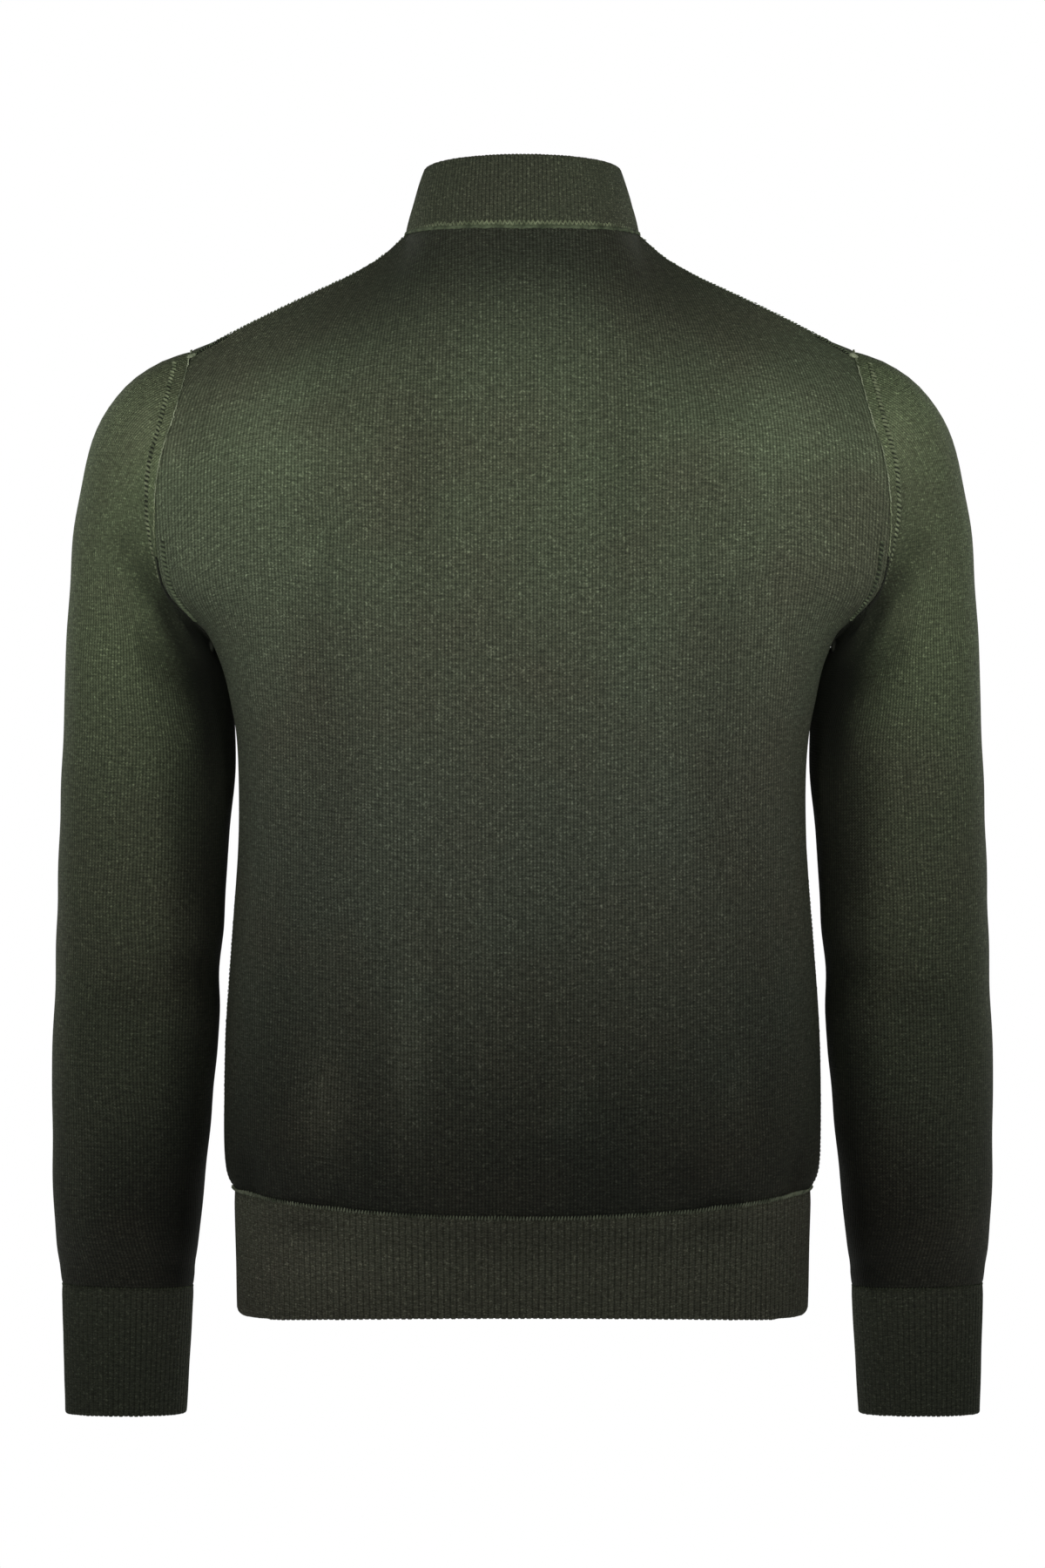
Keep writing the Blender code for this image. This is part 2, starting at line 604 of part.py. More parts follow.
def make_sleeves(back, front):
    """Two sleeves and their cuffs. The right ones are the left ones mirrored."""
    surface, shares = sleeve(back, front)
    seams = (True, True, False, False)
    outer = held_back(surface, SEAM_GAP / 2, seams)
    inside = surface - CLOTH * normals_of(surface, closed=True)
    inner = held_back(inside, SEAM_GAP / 2 + ARMHOLE_BEVEL, (True, False, False, False))
    inner = held_back(inner, SEAM_GAP / 2 + SEAM_BEVEL, (False, True, False, False))
    cuff = rib_columns([surface[-1], oval(CUFF_END, shares)], CUFF_RIB_PITCH, closed=True)
    for name, turned in (("left", lambda grid: grid), ("right", mirrored)):
        wall("sleeve_" + name, turned(outer), turned(inner), "knit", closed=True)
        grid = turned(cuff)
        ribbed_wall("cuff_" + name, grid, normals_of(grid, True), CLOTH, (True, False, False, False), True)


def make_hem(back, front):
    """The hem rib in three lengths, which meet at the side seams."""
    half = cross_section(side_row(HEM_END, 1), 1, FINE)
    bottom = np.concatenate([half[::-1], half[1:] * [-1, 1, 1]])
    plain = rib_columns([bottom, back[0]], HEM_RIB_PITCH)
    ribbed_wall("hem_back", plain, normals_of(plain), CLOTH, (False, True, True, True))
    bottom = cross_section(side_row(HEM_END, -1), -1, FINE)
    plain = rib_columns([bottom, front[0]], HEM_RIB_PITCH)
    normals = normals_of(plain)
    ribbed_wall("hem_front_left", plain, normals, CLOTH, (False, True, False, True))
    ribbed_wall("hem_front_right", mirrored(plain), mirrored(normals), CLOTH, (False, True, True, False))
    return plain


def collar_surface(back, front):
    """The plain outer surface of the collar, from the zip round the back to the zip and
    rising from the panels' own neckline, with two columns to a rib. The columns divide
    each quarter of every level evenly. The ribs in the two quarters come with it."""
    neck = (front[-1, : NECK_COLUMN + 1], back[-1, COLUMNS - NECK_COLUMN : COLUMNS + 1])
    levels = [neck] + [collar_level(row) for row in COLLAR_ROWS]
    ribs = [round(length_of(quarter) / COLLAR_RIB_PITCH) for quarter in levels[1]]
    rows = []
    for quarters in levels:
        front_part, back_part = (
            spread(quarter, np.linspace(0, 1, 2 * count + 1)) for quarter, count in zip(quarters, ribs)
        )
        rows.append(np.concatenate([front_part, back_part[1:]]))
    left = np.stack(rows)
    return np.concatenate([left, mirrored(left)[:, 1:]], axis=1), ribs


def evened(values, count):
    """A run of vectors read at another number of even steps."""
    at = np.linspace(0, len(values) - 1, count)
    return np.stack([np.interp(at, np.arange(len(values)), values[:, k]) for k in range(3)], axis=1)


def mitre_neckline(of_back, of_front, collar, ribs):
    """Normals of the collar, after making those of the panels and of the collar agree
    along the neckline, so that the walls meet there in a mitre."""
    of_collar = normals_of(collar)
    corner, middle = 2 * ribs[0], 2 * (ribs[0] + ribs[1])
    neck_front = of_front[-1, : NECK_COLUMN + 1]
    neck_back = of_back[-1, COLUMNS - NECK_COLUMN : COLUMNS + 1]
    meet_front = unit(evened(neck_front, corner + 1) + of_collar[0, : corner + 1])
    meet_back = unit(evened(neck_back, middle - corner + 1) + of_collar[0, corner : middle + 1])
    left = np.concatenate([meet_front, meet_back[1:]])
    of_collar[0] = np.concatenate([left, mirrored(left[None])[0, 1:]])
    of_front[-1, : NECK_COLUMN + 1] = evened(meet_front, NECK_COLUMN + 1)
    of_back[-1, COLUMNS - NECK_COLUMN : COLUMNS + 1] = evened(meet_back, NECK_COLUMN + 1)
    of_back[:, COLUMNS:] = mirrored(of_back)[:, COLUMNS:]
    return of_collar


def zip_path(hem, front, collar):
    """The line up the edge of the left front, from the hem's bottom edge to the top of
    the collar: y, z, and the thickness of the cloth there."""
    stations = [(*hem[0, 0, 1:], CLOTH)]
    stations += [(*point[1:], CLOTH) for point in front[:-1, 0]]
    stations += [(*point[1:], COLLAR_CLOTH) for point in collar[:-1, 0]]
    return np.array(stations)


def part_of_path(path, start, end):
    """The zip's path between two distances up from the hem."""
    length = np.concatenate([[0], np.cumsum(np.linalg.norm(np.diff(path[:, :2], axis=0), axis=1))])
    between = length[(length > start + 1) & (length < end - 1)]
    wanted = np.concatenate([[start], between, [end]])
    return np.stack([np.interp(wanted, length, path[:, k]) for k in range(3)], axis=1)


def outward_of(path):
    """The directions in y and z that point out of the garment along the zip's path."""
    tangent = unit(np.gradient(path[:, :2], axis=0))
    return np.stack([-tangent[:, 1], tangent[:, 0]], axis=1)


def strip(name, path, x_range, outer_depth, inner_depth, colour):
    """A bar along the zip's path. A depth is an offset plus a share of the thickness
    of the cloth, measured inwards from the outer face of the front."""
    outward = outward_of(path)
    corners = []
    for x, depth in ((0, outer_depth), (1, outer_depth), (1, inner_depth), (0, inner_depth)):
        inwards = depth[0] + depth[1] * path[:, 2:]
        line = path[:, :2] - inwards * outward
        corners.append(np.column_stack([np.full(len(line), x_range[x]), line]))
    points = np.stack(corners, axis=1).reshape(-1, 3)
    faces = [(0, 1, 2, 3), tuple(len(points) - 4 + k for k in (3, 2, 1, 0))]
    for row in range(len(path) - 1):
        for k in range(4):
            here, beside = 4 * row + k, 4 * row + (k + 1) % 4
            faces.append((here, here + 4, beside + 4, beside))
    return add_piece(name, points, faces, colour)


def frame_at(path, distance):
    """A frame on the zip's path this far up from the hem: x across the zip, y up it
    and z out of the garment, in metres."""
    near = part_of_path(path, distance - 2, distance + 2)
    up = unit(near[-1, :2] - near[0, :2])
    y, z = (near[0, :2] + near[-1, :2]) / 2
    return Matrix(
        (
            (1, 0, 0, 0),
            (0, up[0], -up[1], y * MM),
            (0, up[1], up[0], z * MM),
            (0, 0, 0, 1),
        )
    )


def rounded(corners, radius):
    """A closed outline with each corner replaced by an arc of this radius."""
    outline = []
    count = len(corners)
    for k in range(count):
        before, here, after = (np.array(corners[(k + d) % count], float) for d in (-1, 0, 1))
        to_before, to_after = unit(before - here), unit(after - here)
        half_angle = math.acos(np.clip(to_before @ to_after, -1, 1)) / 2
        centre = here + unit(to_before + to_after) * radius / math.sin(half_angle)
        first = here + to_before * radius / math.tan(half_angle) - centre
        last = here + to_after * radius / math.tan(half_angle) - centre
        for t in np.linspace(0, 1, ARC_STEPS + 1):
            outline.append(centre + radius * unit((1 - t) * first + t * last))
    return outline


def prism(name, outline, low, high, frame, collection, colour="metal"):
    """A flat outline in millimetres, extruded from low to high in a frame."""
    work = bmesh.new()
    base = work.faces.new([work.verts.new((x * MM, y * MM, low * MM)) for x, y in outline])
    raised = bmesh.ops.extrude_face_region(work, geom=[base])
    tops = [item for item in raised["geom"] if isinstance(item, bmesh.types.BMVert)]
    bmesh.ops.translate(work, verts=tops, vec=(0, 0, (high - low) * MM))
    bmesh.ops.recalc_face_normals(work, faces=work.faces[:])
    mesh = bpy.data.meshes.new(name)
    work.to_mesh(mesh)
    work.free()
    made = add_object(name, mesh, collection, colour)
    made.matrix_world = frame
    return made


def combine(target, helper, operation):
    """A Boolean on the target, with a helper that isn't part of the object."""
    helper.hide_render = True
    helper.display_type = "WIRE"
    modifier = target.modifiers.new(helper.name, "BOOLEAN")
    modifier.operation = operation
    modifier.object = helper


def make_zip(path):
    """Tapes inside the fronts, a plain bar for the closed teeth, the box at the bottom,
    the stops at the top, the slider and its pull."""
    length = length_of(path[:, :2])
    slider_top = length - SLIDER_DROP
    slider_end = slider_top - SLIDER_LENGTH
    tape = (TAPE_GAP, 1), (TAPE_GAP + TAPE_THICKNESS, 1)
    chain = part_of_path(path, BOX_LENGTH + SEAM_GAP, slider_top - SLIDER_POST[1] - 2 * SLIDER_CLEAR)
    strip("zip_teeth", chain, (-CHAIN_HALF, CHAIN_HALF), (-CHAIN_PROUD, 0), (0, 1), "metal")
    box = part_of_path(path, 0, BOX_LENGTH)
    strip("zip_box", box, (-BOX_HALF, BOX_HALF), (-BOX_PROUD, 0), (0, 1), "metal")
    stop = part_of_path(path, slider_top + 1, slider_top + 1 + STOP_SIZE[1])
    for name, side in (("left", 1), ("right", -1)):
        tape_x = sorted(side * x for x in TAPE_X)
        strip("zip_tape_" + name, path, tape_x, tape[0], tape[1], "tape")
        stop_x = sorted(side * (STOP_X + x) for x in (-STOP_SIZE[0] / 2, STOP_SIZE[0] / 2))
        strip("zip_stop_" + name, stop, stop_x, (STOP_DEPTH, 0), (0, 1), "metal")
    make_slider(path, (slider_top + slider_end) / 2)


def make_slider(path, distance):
    """A slider with two plates joined by a post between the tapes, a bail on its front
    and the pull tab, which turns on its own cross-bar inside the bail."""
    frame = frame_at(path, distance)
    half = SLIDER_LENGTH / 2
    lower = [(-SLIDER_END_HALF, -half), (SLIDER_END_HALF, -half)]
    upper = [(SLIDER_TOP_HALF, half), (-SLIDER_TOP_HALF, half)]
    shield = rounded(lower + upper, SLIDER_CORNER)
    front_face = CHAIN_PROUD + SLIDER_CLEAR
    back_face = -(COLLAR_CLOTH + TAPE_GAP + TAPE_THICKNESS + SLIDER_CLEAR)
    top_face = front_face + SLIDER_PLATE
    slider = prism("zip_slider", shield, front_face, top_face, frame, PIECES)
    inside = prism("slider_back", shield, back_face - SLIDER_PLATE, back_face, frame, CUTTERS)
    combine(slider, inside, "UNION")
    post_half, post_length = SLIDER_POST
    post = rectangle(-post_half, post_half, half - post_length, half - SLIDER_CORNER / 2)
    post = prism("slider_post", post, back_face - JOIN, front_face + JOIN, frame, CUTTERS)
    combine(slider, post, "UNION")
    across = frame @ Matrix(((0, 0, 1, 0), (1, 0, 0, 0), (0, 1, 0, 0), (0, 0, 0, 1)))
    bail_top = top_face + BAIL_WINDOW + BAIL_BAR
    bail = rounded(rectangle(-BAIL_LENGTH / 2, BAIL_LENGTH / 2, front_face + JOIN, bail_top), BAIL_CORNER)
    bail = prism("slider_bail", bail, -BAIL_HALF, BAIL_HALF, across, CUTTERS)
    opening = BAIL_LENGTH / 2 - BAIL_BAR
    window = rectangle(-opening, opening, top_face, top_face + BAIL_WINDOW)
    window = prism("bail_window", window, -2 * BAIL_HALF, 2 * BAIL_HALF, across, CUTTERS)
    combine(bail, window, "DIFFERENCE")
    combine(slider, bail, "UNION")
    make_pull(path, distance, frame, top_face + BAIL_WINDOW / 2)


def rectangle(left, right, bottom, top):
    return [(left, bottom), (right, bottom), (right, top), (left, top)]


def make_pull(path, distance, frame, axis_height):
    """The pull tab, lying down the zip from its axis in the bail, as flat as the bend
    at the neck seam lets it."""
    below = part_of_path(path, distance - PULL_LENGTH, distance - PULL_BAR)
    points = np.column_stack([np.zeros(len(below)), below[:, :2]]) * MM
    inverse = np.array(frame.inverted())
    local = (points @ inverse[:3, :3].T + inverse[:3, 3]) / MM
    rise = local[:, 2] + CHAIN_PROUD + PULL_LIFT + PULL_THICKNESS / 2 - axis_height
    lean = max(0.0, np.max(np.arctan2(rise, -local[:, 1])))
    axis = frame @ Matrix.Translation((0, 0, axis_height * MM)) @ Matrix.Rotation(-lean, 4, "X")
    tab = rectangle(-PULL_HALF, PULL_HALF, PULL_BAR / 2 - PULL_LENGTH, PULL_BAR / 2)
    outline = rounded(tab, PULL_CORNER)
    pull = prism("zip_pull", outline, -PULL_THICKNESS / 2, PULL_THICKNESS / 2, axis, PIECES)
    half_window, window_length = PULL_WINDOW
    window = rectangle(-half_window, half_window, -PULL_BAR / 2 - window_length, -PULL_BAR / 2)
    window = prism("pull_window", window, -PULL_THICKNESS, PULL_THICKNESS, axis, CUTTERS)
    combine(pull, window, "DIFFERENCE")


def clear_scene():
    for found in list(bpy.data.objects):
        bpy.data.objects.remove(found)


def new_collection(name):
    made = bpy.data.collections.new(name)
    bpy.context.scene.collection.children.link(made)
    return made


def new_material(name, red, green, blue, roughness, metallic):
    made = bpy.data.materials.new(name)
    made.use_nodes = True
    made.diffuse_color = (red, green, blue, 1)
    shader = made.node_tree.nodes["Principled BSDF"]
    shader.inputs["Base Color"].default_value = (red, green, blue, 1)
    shader.inputs["Roughness"].default_value = roughness
    shader.inputs["Metallic"].default_value = metallic
    return made


clear_scene()
PIECES = new_collection("zip_up_cardigan")
CUTTERS = new_collection("cutters")
MATERIALS = {name: new_material(name, *values) for name, values in COLOURS.items()}


def main():
    back = panel(1)
    front = panel(-1)
    collar, ribs = collar_surface(back, front)
    of_back, of_front = shared_normals(back, front)
    of_collar = mitre_neckline(of_back, of_front, collar, ribs)
    make_body(back, front, of_back, of_front)
    make_sleeves(back, front)
    hem = make_hem(back, front)
    ribbed_wall("collar", collar, of_collar, COLLAR_CLOTH, (True, False, False, False))
    make_zip(zip_path(hem, front, collar))


main()
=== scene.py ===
"""Looks of a zip-up cardigan in fine garment-dyed knit, filled out as if worn.

Sizes and tables are in millimetres and the meshes are made in metres, in the frame of
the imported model: +Z up, the zip on the -Y side, the wearer's left at +X. The first
tables and surfaces are the solids' own. The cloth here is a finer grid on the same
surfaces, with softer folds, real ribs, sewn seams and knit in its materials.
"""

import math

import bmesh
import bpy
import numpy as np

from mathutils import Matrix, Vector


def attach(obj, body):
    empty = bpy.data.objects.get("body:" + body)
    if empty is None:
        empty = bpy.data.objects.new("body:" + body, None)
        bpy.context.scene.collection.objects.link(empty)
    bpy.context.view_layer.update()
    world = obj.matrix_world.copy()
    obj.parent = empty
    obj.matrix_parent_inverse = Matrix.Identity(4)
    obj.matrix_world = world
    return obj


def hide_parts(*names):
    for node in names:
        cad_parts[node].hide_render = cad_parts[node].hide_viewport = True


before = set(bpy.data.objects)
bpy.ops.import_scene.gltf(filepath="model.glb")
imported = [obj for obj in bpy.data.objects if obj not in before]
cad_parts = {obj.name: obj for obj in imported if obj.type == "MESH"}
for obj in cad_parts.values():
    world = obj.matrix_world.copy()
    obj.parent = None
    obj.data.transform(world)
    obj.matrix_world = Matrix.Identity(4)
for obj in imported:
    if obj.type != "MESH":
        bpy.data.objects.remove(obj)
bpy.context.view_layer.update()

MM = 0.001
CLOTH = 2.2
COLLAR_CLOTH = 3.0

# Fineness of the solids' own grids
COLUMNS = 13  # from the centre line to the side seam
NECK_COLUMN = 6  # the column that runs up to the neck end of the shoulder seam
BACK_ROWS = 11  # above the underarm
FRONT_ROWS = 12  # above the underarm, up to the ridge of the shoulder
FINE = 60  # points of a curve before it is divided into columns
EVENING = 5  # rounds of smoothing up and down a panel
EVENING_FADE = 5  # columns next to the edge over which the smoothing fades out

# Front opening
EDGE_X = 4.5  # each front stops this far from the centre line
PLACKET_X = 14.0  # the front is flat out to here, beside the zip

# The edge that the back and a front share runs up the side seam to the underarm.
# The shares are the Bezier handles of each cross-section of the body.
SIDE_ROWS = [
    # edge_x, edge_z, back_y, back_z, front_y, front_z, width share, depth share
    # of the back, depth share of the front
    (174.6, -579, 99.5, -593, -108, -588, 0.68, 0.66, 0.66),  # hem seam
    (178.8, -572, 106.5, -587, -111, -580, 0.68, 0.66, 0.66),
    (180.8, -559, 110.5, -574, -113.5, -567, 0.68, 0.66, 0.66),  # blouses over the rib
    (181.2, -528, 111.5, -541, -115, -534, 0.68, 0.66, 0.66),
    (180.3, -482, 108.5, -492, -115.5, -487, 0.67, 0.66, 0.66),
    (176.4, -425, 103.5, -431, -116, -429, 0.66, 0.66, 0.67),  # waist
    (172.6, -375, 101.5, -377, -117.5, -377, 0.66, 0.66, 0.69),
    (171.8, -338, 103, -335, -120, -338, 0.66, 0.66, 0.71),
    (173.8, -302, 106, -294, -122, -300, 0.66, 0.66, 0.73),
    (179.6, -271, 109, -259, -123.5, -265, 0.65, 0.66, 0.73),
    (189, -246, 111, -231, -124, -236, 0.62, 0.66, 0.69),  # underarm
]
UNDERARM = len(SIDE_ROWS) - 1

# Above the underarm the edge is the armhole. Turn swings the surface's direction at
# the edge from straight fore and aft (0) to straight across (90), rise lifts it, and
# the handles are the Bezier handles at the centre line and at the edge.
BACK_ARMHOLE = [
    # edge_x, edge_y, edge_z, centre_y, centre_z, turn, rise, centre handle, edge handle
    (201.5, 33, -233, 111, -204, 12, 0, 112, 52),
    (214.5, 54, -219, 110, -176, 30, 0.02, 112, 46),
    (220, 64, -193, 108, -148, 46, 0.05, 110, 50),
    (220.4, 65, -164, 104.5, -119, 57, 0.10, 106, 56),
    (217, 60, -137, 98.5, -90, 66, 0.18, 100, 62),
    (209.4, 47, -111, 89, -60, 74, 0.30, 92, 64),
    (204.6, 31, -90, 74.5, -31.5, 82, 0.42, 80, 64),
    (201.5, 13, -75, 54, 0.5, 92, 0.52, 66, 64),
]
FRONT_ARMHOLE = [
    (197, -27, -237, -124, -218, 14, 0, 98, 50),
    (203, -45, -223, -123.5, -201, 33, 0.02, 95, 44),
    (205.5, -54.5, -198, -121.5, -183, 51, 0.05, 92, 46),
    (205, -56, -170, -118, -165, 61, 0.10, 90, 54),
    (204, -52, -142, -113, -146, 69, 0.18, 88, 62),
    (202, -41, -114, -106.5, -127, 76, 0.30, 80, 64),
    (201.2, -24, -88, -98, -108, 82, 0.40, 72, 64),
    (201.2, -5, -71, -87.5, -89, 88, 0.48, 64, 62),  # ridge of the shoulder
    (201.5, 13, -75, -76, -71, 92, 0.52, 56, 60),
]

# The shoulder seam starts on the ridge at the neck and drops behind it at the armhole.
SHOULDER_SEAM = [
    # x, y, z
    (70, 0, 0),
    (78.5, 0.3, -8.6),
    (90, 0.8, -17),
    (108.7, 2, -27.4),
    (131, 4.2, -37.8),
    (153, 7, -48.6),
    (177, 10.4, -61),
    (201.5, 13, -75),
]
BACK_NECK = [
    (0, 54, 0.5),
    (22, 52, 0.6),
    (44, 42.5, 0.7),
    (61, 24, 0.6),
    (70, 0, 0),
]
FRONT_NECK = [
    (PLACKET_X, -76, -71),
    (26, -73, -67),
    (40, -65, -57),
    (56, -49, -37),
    (67, -25, -14),
    (70, 0, 0),
]
YOKE_START = 12  # the table row where the cross-sections begin to turn to the neckline
YOKE_POWER = 1.5
CORNER_POWER = 7.0  # how quickly the corner at the neck fades out below it
CORNER_SPREAD = 5  # columns over which the corner is spread

# Sleeve rings after the armhole. Each is a slanting oval between an outer and an inner
# point, half_depth fore and aft of them. Form is how much of the armhole's own shape
# is left, and square is 2 for an ellipse and more for a flatter inner side.
SLEEVE_RINGS = [
    # outer x, y, z, inner x, y, z, half_depth, form, square
    (201.2, -2, -71, 189, 0, -246, 64, 1, 2.7),
    (221.2, 0, -78.6, 188.8, -5, -249, 64, 0.86, 2.6),
    (239.6, 0, -91.4, 186.2, -12, -254, 63.5, 0.68, 2.5),
    (254.4, 0, -111, 182.6, -20, -260.5, 63, 0.50, 2.4),
    (263.8, -1, -135, 181.4, -28, -268.5, 62, 0.34, 2.3),
    (270.4, -2, -167, 179.6, -34, -278.5, 61, 0.20, 2.2),
    (274.4, -3, -206, 177.2, -36, -291, 60, 0.10, 2.2),
    (277, -4, -253, 176, -34, -309, 59, 0.03, 2.2),
    (279.4, -6, -311, 176.6, -28, -338, 58, 0, 2.3),
    (282.4, -9, -376, 179.8, -21, -392, 56.5, 0, 2.3),
    (285.2, -13, -441, 183.2, -18, -452, 54.5, 0, 2.3),
    (286.6, -18, -506, 187.4, -18, -512, 52, 0, 2.2),
    (286.2, -23, -566, 192.8, -23, -569, 48, 0, 2.1),
    (284.6, -27, -616, 198, -27, -618, 44, 0, 2.1),
    (281, -29, -639, 201.2, -29, -640.5, 40, 0, 2.1),
]
CUFF_END = (279.2, -35.0, -716.8, 205.8, -35.0, -716.8, 35.5, 0.00, 2.1)
OUTER_SQUARE = 2.05

# The bottom edge of the hem rib, in the columns of SIDE_ROWS
HEM_END = (172.6, -655.5, 97.0, -651.0, -106.0, -656.0, 0.69, 0.68, 0.68)

# Collar levels above the neck seam. Each is a ring through the centre back, a side
# point and the centre front; inward takes the last levels in to round the top edge.
COLLAR_ROWS = [
    # side_x, side_y, side_z, back_y, back_z, front_y, front_z, inward
    (63.8, -5, 20, 53.6, 22, -70.4, -44, 0),
    (59.4, -7, 37.4, 51.4, 43, -65.4, -20, 0),
    (59.2, -7, 38.6, 51.2, 44.3, -65.1, -18.7, 0.8),
]
COLLAR_HANDLE = 0.56
COLLAR_SLOPE = 0.16  # fall of a level towards the front, where it passes the side

# Large soft folds: ridges are positive and troughs negative
BACK_FOLDS = [
    # top x, top z, bottom x, bottom z, half width, height
    (88, -245, 140, -385, 13, -2.4),
    (66, -250, 108, -400, 15, 2),
    (-88, -245, -132, -375, 13, -2.2),
    (-66, -255, -104, -390, 15, 1.8),
    (72, -420, 66, -565, 16, 2.4),
    (-38, -450, -60, -570, 18, -2),
    (120, -470, 150, -575, 15, 2.2),
    (-112, -480, -146, -575, 15, 2.2),
]
FRONT_FOLDS = [
    (150, -235, 112, -340, 15, -2.2),
    (124, -430, 116, -570, 16, 2),
    (80, -450, 74, -575, 14, -2),
]
SLEEVE_FOLDS = [
    # ring at the underarm, ring fore and aft, place round, half rings, half round, height
    # The place round is 0 at the outer side, 0.25 in front, 0.5 inside and 0.75 behind.
    (3.2, 1.6, 0.34, 0.90, 0.16, -2),
    (3.2, 1.6, 0.66, 0.90, 0.16, -2.4),
    (9.4, 10, 0.50, 0.45, 0.16, -2.2),
    (10.4, 10, 0.50, 0.45, 0.13, -1.8),
    (10, 10, 0.92, 0.60, 0.12, -1.5),
]


def smooth(values, at):
    """Arrays read at fractional numbers along their first axis, on the cubic through
    them whose slope at each is half the step between its two neighbours."""
    values = np.asarray(values, float)
    at = np.clip(np.asarray(at, float), 0, len(values) - 1)
    low = np.minimum(at.astype(int), len(values) - 2)
    t = (at - low).reshape(-1, *[1] * (values.ndim - 1))
    slope = np.gradient(values, axis=0)
    rising = (3 - 2 * t) * t**2
    leaving = t * (1 - t) ** 2 * slope[low]
    arriving = t**2 * (1 - t) * slope[low + 1]
    return (1 - rising) * values[low] + rising * values[low + 1] + leaving - arriving


def run_of(line):
    """Distance along a line at each of its points."""
    return np.concatenate([[0], np.cumsum(np.linalg.norm(np.diff(line, axis=0), axis=1))])


def read_along(line, run, wanted):
    """The points of a polyline at these distances along it, where run gives the
    distance at each of its own points."""
    return np.stack([np.interp(wanted, run, line[:, k]) for k in range(3)], axis=1)


def spread(points, shares):
    """The points of a polyline at these shares of its length."""
    points = np.asarray(points, float)
    run = run_of(points)
    return read_along(points, run, np.asarray(shares, float) * run[-1])


def bezier(start, start_handle, end_handle, end):
    """A cubic Bezier curve as a fine polyline, with its handles given as offsets."""
    t = np.linspace(0, 1, FINE)[:, None]
    second, third = start + start_handle, end + end_handle
    near = (1 - t) ** 3 * start + 3 * t * (1 - t) ** 2 * second
    return near + 3 * t**2 * (1 - t) * third + t**3 * end


def unit(vectors):
    """Vectors over their lengths."""
    return vectors / np.maximum(np.linalg.norm(vectors, axis=-1, keepdims=True), 1e-9)


def section_rows(side):
    """The back's rows (side 1) or a front's rows (side -1) as one table in the columns
    of the armhole tables."""
    rows = [side_row(row, side) for row in SIDE_ROWS]
    return np.array(rows + (BACK_ARMHOLE if side > 0 else FRONT_ARMHOLE), float)


def side_row(row, side):
    """A row of SIDE_ROWS turned into the columns of the armhole tables."""
    edge_x, edge_z, back_y, back_z, front_y, front_z, width, back_depth, front_depth = row
    if side > 0:
        centre_y, centre_z, depth, start = back_y, back_z, back_depth, 0.0
    else:
        centre_y, centre_z, depth, start = front_y, front_z, front_depth, PLACKET_X
    handles = (width * (edge_x - start), depth * abs(centre_y))
    return (edge_x, 0.0, edge_z, centre_y, centre_z, 0.0, 0.0) + handles


def divided(curve, side, columns):
    """A curve from the centre line divided evenly into columns. On a front the first
    column is the flat strip beside the zip, and the curve starts behind it."""
    if side > 0:
        return spread(curve, np.linspace(0, 1, columns + 1))
    return np.concatenate([[[EDGE_X, *curve[0, 1:]]], spread(curve, np.linspace(0, 1, columns))])


def cross_section(row, side, columns):
    """One cross-section of the body from its centre line to its edge: a Bezier curve."""
    edge_x, edge_y, edge_z, centre_y, centre_z, turn, rise, centre_handle, reach = row
    centre = np.array([0.0 if side > 0 else PLACKET_X, centre_y, centre_z])
    angle = math.radians(turn)
    inward = unit(np.array([-math.sin(angle), side * math.cos(angle), rise]))
    edge = np.array([edge_x, edge_y, edge_z])
    curve = bezier(centre, np.array([centre_handle, 0, 0]), reach * inward, edge)
    return divided(curve, side, columns)


def top_edge(side):
    """Neckline and shoulder seam as one edge, with their corner on its own column."""
    table = BACK_NECK if side > 0 else FRONT_NECK
    neck = smooth(table, np.linspace(0, len(table) - 1, FINE))
    shoulder = smooth(SHOULDER_SEAM, np.linspace(0, len(SHOULDER_SEAM) - 1, FINE))
    shoulder = spread(shoulder, np.linspace(0, 1, COLUMNS - NECK_COLUMN + 1))
    return np.concatenate([divided(neck, side, NECK_COLUMN), shoulder[1:]])


def spread_out(offsets, width):
    """Offsets along an edge with their corners softened over this many columns. Both
    ends keep their value."""
    soft = offsets.copy()
    for _ in range(width):
        soft[1:-1] = (soft[:-2] + 2 * soft[1:-1] + soft[2:]) / 4
        soft[0] = (soft[0] + soft[1]) / 2
    soft[-1] = offsets[-1]
    return soft


def row_numbers(side):
    """The table's row numbers at the rows of the grid."""
    below = np.arange(UNDERARM, dtype=float)
    if side > 0:
        top = UNDERARM + len(BACK_ARMHOLE)
        return np.concatenate([below, np.linspace(UNDERARM, top, BACK_ROWS + 1)])
    ridge = UNDERARM + len(FRONT_ARMHOLE) - 1
    return np.concatenate([below, np.linspace(UNDERARM, ridge, FRONT_ROWS + 1), [ridge + 1]])


def fold_height(points, folds):
    """Height of the folds at each point. A fold is a soft ridge along a line seen from
    the front, which fades out towards both of its ends."""
    height = np.zeros(points.shape[:-1])
    for top_x, top_z, bottom_x, bottom_z, half_width, size in folds:
        start = np.array([top_x, top_z])
        line = np.array([bottom_x, bottom_z]) - start
        from_start = points[..., [0, 2]] - start
        along = (from_start @ line) / (line @ line)
        off = (from_start @ np.array([-line[1], line[0]])) / np.linalg.norm(line)
        fade = np.clip(np.minimum(along + 0.15, 1.15 - along) / 0.45, 0, 1)
        height += size * np.exp(-((off / half_width) ** 2)) * fade * fade * (3 - 2 * fade)
    return height


def tube_fold(number, around, ring, place, half_rings, half_round, size):
    """Height of a soft fold on a tube: a bell along it, times a bell round it that is
    measured by the shorter way."""
    turn = np.abs(around - place)
    turn = np.minimum(turn, 1 - turn)
    return size * np.exp(-(((number - ring) / half_rings) ** 2) - (turn / half_round) ** 2)


